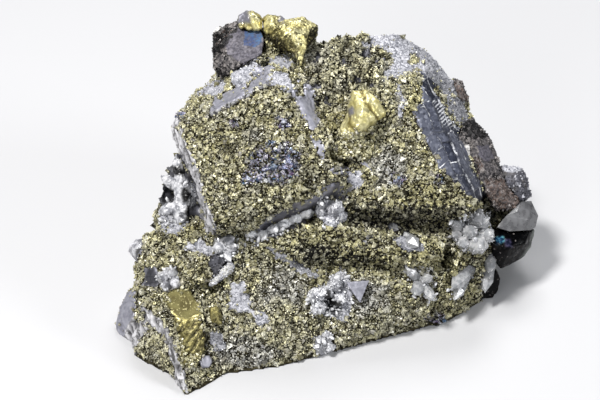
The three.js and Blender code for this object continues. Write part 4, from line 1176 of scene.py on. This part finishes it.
brass_bright, tree, shader = new_material("chalcopyrite")
spot = places(tree)
film = noisy(tree, spot, 420.0, 5.0)
specks = noisy(tree, spot, 1900.0, 3.0)
ridges = strayed(tree, read(tree, "growth"), specks, 1.2)
shaded = sums(tree, "MULTIPLY", read(tree, "gold_shade"), ramped(tree, film, 0.3, 0.6, 1.0, 0.8))
pits = ramped(tree, noisy(tree, spot, 1100.0, 4.0), 0.53, 0.58, 0.0, 0.9)
crevice = sums(tree, "MULTIPLY", torn(tree, spot, "crevice"), ramped(tree, specks, 0.5, 0.66, 0.95, 0.2))
olive = read(tree, "olive")
rim = sums(tree, "MULTIPLY", olive, sums(tree, "SUBTRACT", 1.0, olive))
dusky = coated(
    tree, linear(56, 51, 26),
    (ramped(tree, film, 0.38, 0.64), linear(100, 95, 60)),
    (ramped(tree, specks, 0.58, 0.68), linear(148, 142, 104)),
    (ramped(tree, rim, 0.02, 0.2, 0.0, 0.8), linear(206, 196, 132)),
)
shine = ramped(tree, film, 0.35, 0.7, 0.34, 0.5)
join(tree, shader, {
    "Base Color": coated(
        tree, linear(228, 221, 172),
        (ramped(tree, film, 0.4, 0.62), linear(200, 190, 128)),
        # painted shade: darker in the valleys of the growth waves
        (ramped(tree, read(tree, "growth"), 0.5, 0.1, 0.0, 0.85), linear(116, 104, 56)),
        # painted shade in the darker gold, near black in the valleys of the ridges
        (shaded, mixed(tree, ramped(tree, ridges, 0.25, 0.85), linear(20, 17, 7), linear(118, 110, 66))),
        (sums(tree, "MULTIPLY", pits, read(tree, "pitted")), linear(52, 46, 24)),
        (olive, dusky),
        # painted shade in the black gaps
        (crevice, linear(18, 15, 8)),
        (read(tree, "grey_spots"), linear(148, 147, 156)),
    ),
    "Metallic": 0.7,
    "Roughness": sums(tree, "MULTIPLY_ADD", olive, 0.16, shine),
    "Specular IOR Level": 0.25,
    "Normal": bumped(tree, specks, 0.5, 0.3),
})

for node in nodes_of("chalcopyrite"):
    crystal = even_skin(new_piece(node + "_crystal", solid_copy([node])), BRASS_SKIN)
    land = survey(crystal)
    marked(crystal, land, {
        "olive": OLIVE, "gold_shade": GOLD_SHADE, "grey_spots": GREY_SPOTS, "crevice": CREVICES})
    satin = inside_any(land, OLIVE)
    way_across, way_up, strength, lumpy = FOLDS.get(node, USUAL_FOLDS)
    fold = land.across * way_across + land.up * way_up + 1.6 * lumps(land, 4, 21)
    folds = 0.5 + 0.5 * np.sin(fold)
    lines = 0.5 + 0.5 * np.sin(3.1 * fold + 1.5 * lumps(land, 1.2, 23))
    knobbly = lumps(land, 0.9, 22)
    growth = (0.4 * folds + 0.16 * lines) * strength + lumpy * knobbly
    mark(crystal, "growth", (0.6 * folds + 0.4 * lines) * strength + (0.5 + 0.6 * knobbly) * (1 - strength))
    mark(crystal, "pitted", np.clip(PITTED.get(node, USUAL_PITTED) + lumps(land, 3, 26), 0, 1))
    move_out(crystal, land, np.maximum(growth - 0.1, -0.1) * (1 - satin) + 0.1)
    smooth(crystal)
    crystal.data.materials.append(brass_bright)
    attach(crystal, "root")
    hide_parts(node)
    overgrown = inside_any(land, OVERGROWN)
    if overgrown.any():
        mark(crystal, "overgrown", overgrown)
        sow(node + "_grains", crystal, grains, "overgrown", OVERGROWTH_HABIT, 82, brass)

# ---- galena crystals ----
# Small crystals of galena that stand bare in the crust, each in its own socket: satin lead grey, a
# little lilac. The cube and the knob at the right end are grainy, and the knob's top is painted white.

GALENA_SKIN = 0.3 * MM
GALENA_GRAINS_HABIT = (0.55, (0.5, 0.8, 1.3), (-0.15, 0.1))
GRAINY_GALENA = ("galena_knob", "galena_cube")
CRYSTAL_DULL = {"galena_knob": 0.6, "galena_cube": 0.85, "galena_button": 0.2}
KNOB_LUMPS = 0.2
KNOB_TOP = (((45.4, 9), (50.4, 9), (51, 7.4), (48, 6.8), (45.6, 7.6)),)

for node in nodes_of("galena"):
    crystal = even_skin(new_piece(node + "_crystal", solid_copy([node])), GALENA_SKIN)
    land = survey(crystal)
    lumpy = KNOB_LUMPS * (node == "galena_knob") * lumps(land, 1.6, 32)
    move_out(crystal, land, 0.1 + 0.06 * lumps(land, 1.0, 31) + lumpy)
    marked(crystal, land, {"sugar": KNOB_TOP})
    mark(crystal, "bare", np.full(len(land.at), float(node not in GRAINY_GALENA)))
    mark(crystal, "dull", CRYSTAL_DULL.get(node, 0.0) * (1 - inside_any(land, KNOB_TOP)))
    smooth(crystal)
    crystal.data.materials.append(galena)
    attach(crystal, "root")
    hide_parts(node)
    if node in GRAINY_GALENA:
        mark(crystal, "grainy", np.ones(len(land.at)))
        sow(node + "_grains", crystal, grains, "grainy", GALENA_GRAINS_HABIT, 80, galena)

# ---- sphalerite crystals ----
# Sphalerite, brown to black and resinous to glassy, its faces stepped by its own cleavage, each crystal
# in its own socket. The one on the crest is mauve under a blue film, and the black one at the right end
# flashes turquoise.

SPHALERITE_SKIN = 0.32 * MM
SPHALERITE_GRAINS_HABIT = (0.5, (0.5, 0.8, 1.3), (-0.3, 0.0))
GLASSY_SPHALERITE = ("sphalerite_black", "sphalerite_lower")
MAUVE = (
    ((-25.4, 40.4), (-22.4, 43), (-16, 44.2), (-14.8, 40), (-15.6, 36), (-20, 34), (-24.6, 36.6)),
    ((38.6, 13.4), (42, 14), (43.4, 10.6), (41.4, 9.6), (39.2, 10.8)),
)
BLUE_FILM = (
    ((-20.2, 38.6), (-20.2, 43.2), (-18.2, 44), (-16, 42.6), (-15.8, 39.6), (-17.6, 38.2)),
    ((43.2, -9.6), (45, -9.2), (45.6, -10.6), (43.8, -11.2)),
)
VIOLET_FILM = (((45.8, -10), (47, -10.2), (47.4, -12), (46, -11.8)),)
NIGHT = (
    ((-28.6, 43.2), (-25, 43.4), (-21.8, 43), (-22.8, 41), (-25, 38.6), (-28.8, 35.4)),
    ((-28.4, 34.4), (-26, 33), (-23.6, 31), (-26, 30.4)),
    ((34, 21), (40.6, 19.8), (41.8, 16), (38, 15.4), (35.4, 18)),
    ((36, 10.4), (38, 9.6), (39.4, 7), (37.4, 7)),
)
RUST = (
    ((-27.6, 41.8), (-24, 43.2), (-22.6, 42.4), (-24.4, 41), (-27.4, 39)),
    ((36.4, 11), (39, 10.6), (40.6, 7.6), (38.4, 6.6)),
    ((40.4, 5.6), (44.6, 5.2), (50.6, 0), (50.4, -2.2), (44.4, -2.4), (41, 1.6)),
    ((33.4, 31), (37, 25.4), (35.6, 25.2), (33, 29)),
)
# Pale edges: painted highlights along the crest's top edge and in streaks on the lower black crystal, and a
# pale spot on the flank.
WHITE_EDGE_AND_HIGHLIGHT = (
    ((-28.4, 42.4), (-26.4, 44.2), (-21.8, 45.8), (-22, 44.8), (-25.6, 43.8), (-27.6, 42.2)),
    ((34.4, 13.8), (36.4, 14), (37, 11), (35.4, 10.2), (34.2, 12)),
    ((39.8, -18.4), (41.6, -18), (41.8, -22), (40.6, -23)),
)
# Painted sheen along the edge of the black crystal.
RIM_SHEEN = (((53, -6), (55, -6), (54.4, -12), (50.6, -16), (50.2, -15), (52.8, -11.4)),)

blende, tree, shader = new_material("sphalerite")
spot = places(tree)
flakes = placed(tree, facets, Places=spot, Scale=900.0)
fine_flakes = placed(tree, facets, Places=spot, Scale=1700.0)
clouds = noisy(tree, spot, 300.0, 5.0)
specks = noisy(tree, spot, 1500.0, 2.0)
even_part = torn(tree, spot, "mauve")
cracks = sums(tree, "MULTIPLY", placed(tree, splits, Places=spot, Scale=420.0)["Mask"], 0.45)
rust = sums(tree, "MULTIPLY", torn(tree, spot, "rust"), ramped(tree, specks, 0.4, 0.6, 0.1, 0.65))
night = sums(tree, "MULTIPLY", torn(tree, spot, "night"), ramped(tree, specks, 0.55, 0.65, 0.97, 0.3))
film = torn(tree, spot, "blue_film", 600.0)
film = sums(tree, "MULTIPLY", film, ramped(tree, specks, 0.35, 0.6, 0.3, 0.9))
mauve = mixed(tree, ramped(tree, specks, 0.35, 0.65), linear(52, 50, 60), linear(102, 99, 108))
blue = mixed(tree, ramped(tree, clouds, 0.4, 0.6), linear(30, 56, 100), linear(60, 98, 136))
shine = ramped(tree, clouds, 0.3, 0.7, 0.36, 0.56)
height = sums(tree, "MULTIPLY_ADD", flakes["Height"], 1.5, fine_flakes["Height"])
height = sums(tree, "MULTIPLY", height, ramped(tree, even_part, 0, 1, 1.0, 0.15))
join(tree, shader, {
    "Base Color": coated(
        tree, linear(6, 6, 7),
        (ramped(tree, fine_flakes["Shade"], 0.3, 0.95), linear(134, 128, 126)),
        (ramped(tree, clouds, 0.42, 0.62, 0.0, 0.6), linear(78, 75, 78)),
        (sums(tree, "MULTIPLY", even_part, 0.85), mauve),
        (sums(tree, "MULTIPLY", cracks, even_part), linear(24, 22, 27)),
        (rust, linear(100, 82, 73)),
        (night, linear(10, 9, 10)),
        (film, blue),
        # painted glints: a share of the grains sown on the sphalerite is lightened
        (ramped(tree, read(tree, "chance"), 0.75, 1.0, 0.0, 0.8), linear(158, 152, 149)),
        (torn(tree, spot, "white_edge_and_highlight"), linear(206, 204, 202)),
    ),
    "Metallic": 0.15,
    "Roughness": sums(tree, "MULTIPLY_ADD", even_part, 0.15, shine),
    "Specular IOR Level": 0.3,
    "Normal": bumped(tree, height, 0.8, 0.25),
})

jet, tree, shader = new_material("black_sphalerite")
spot = places(tree)
specks = noisy(tree, spot, 900.0, 4.0)
sparkles = placed(tree, facets, Places=spot, Scale=2600.0)["Shade"]
streaks = ramped(tree, specks, 0.35, 0.6, 0.2, 1.0)
flash = ramped(tree, specks, 0.4, 0.6)
# painted sheen along the rim
rim = sums(tree, "MULTIPLY", read(tree, "rim_sheen"), ramped(tree, specks, 0.3, 0.6, 0.4, 0.9))
join(tree, shader, {
    "Base Color": coated(
        tree, linear(2, 2, 3),
        (ramped(tree, specks, 0.6, 0.7, 0.0, 0.35), linear(62, 50, 44)),
        # painted glints: tiny pale specks on the black
        (ramped(tree, sparkles, 0.96, 0.98, 0.0, 0.5), linear(126, 120, 118)),
        (sums(tree, "MULTIPLY", read(tree, "blue_film"), streaks),
         mixed(tree, flash, linear(58, 116, 168), linear(140, 222, 232))),
        (sums(tree, "MULTIPLY", read(tree, "violet_film"), streaks),
         mixed(tree, flash, linear(26, 32, 54), linear(66, 62, 88))),
        (rim, linear(100, 104, 100)),
        (torn(tree, spot, "white_edge_and_highlight"), linear(206, 206, 208)),
    ),
    "Roughness": ramped(tree, specks, 0.4, 0.65, 0.2, 0.5),
    "Specular IOR Level": 0.08,
    "Normal": bumped(tree, specks, 0.3, 0.25),
})

for node in nodes_of("sphalerite"):
    glassy = node in GLASSY_SPHALERITE
    crystal = even_skin(new_piece(node + "_crystal", solid_copy([node])), SPHALERITE_SKIN)
    land = survey(crystal)
    marked(crystal, land, {
        "mauve": MAUVE, "blue_film": BLUE_FILM, "violet_film": VIOLET_FILM, "night": NIGHT, "rust": RUST,
        "white_edge_and_highlight": WHITE_EDGE_AND_HIGHLIGHT, "rim_sheen": RIM_SHEEN})
    even = inside_any(land, MAUVE)
    grainy = 0.5 * cleavage_steps(land) + 0.4 * lumps(land, 1.2, 41)
    calm = 0.25 * cleavage_steps(land) + 0.05 * lumps(land, 1.5, 42)
    move_out(crystal, land, calm if glassy else grainy * (1 - even) + calm * even)
    smooth(crystal)
    crystal.data.materials.append(jet if glassy else blende)
    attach(crystal, "root")
    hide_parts(node)
    if not glassy:
        mark(crystal, "grainy", 1 - even)
        sow(node + "_grains", crystal, grains, "grainy", SPHALERITE_GRAINS_HABIT, 81,
            blende)
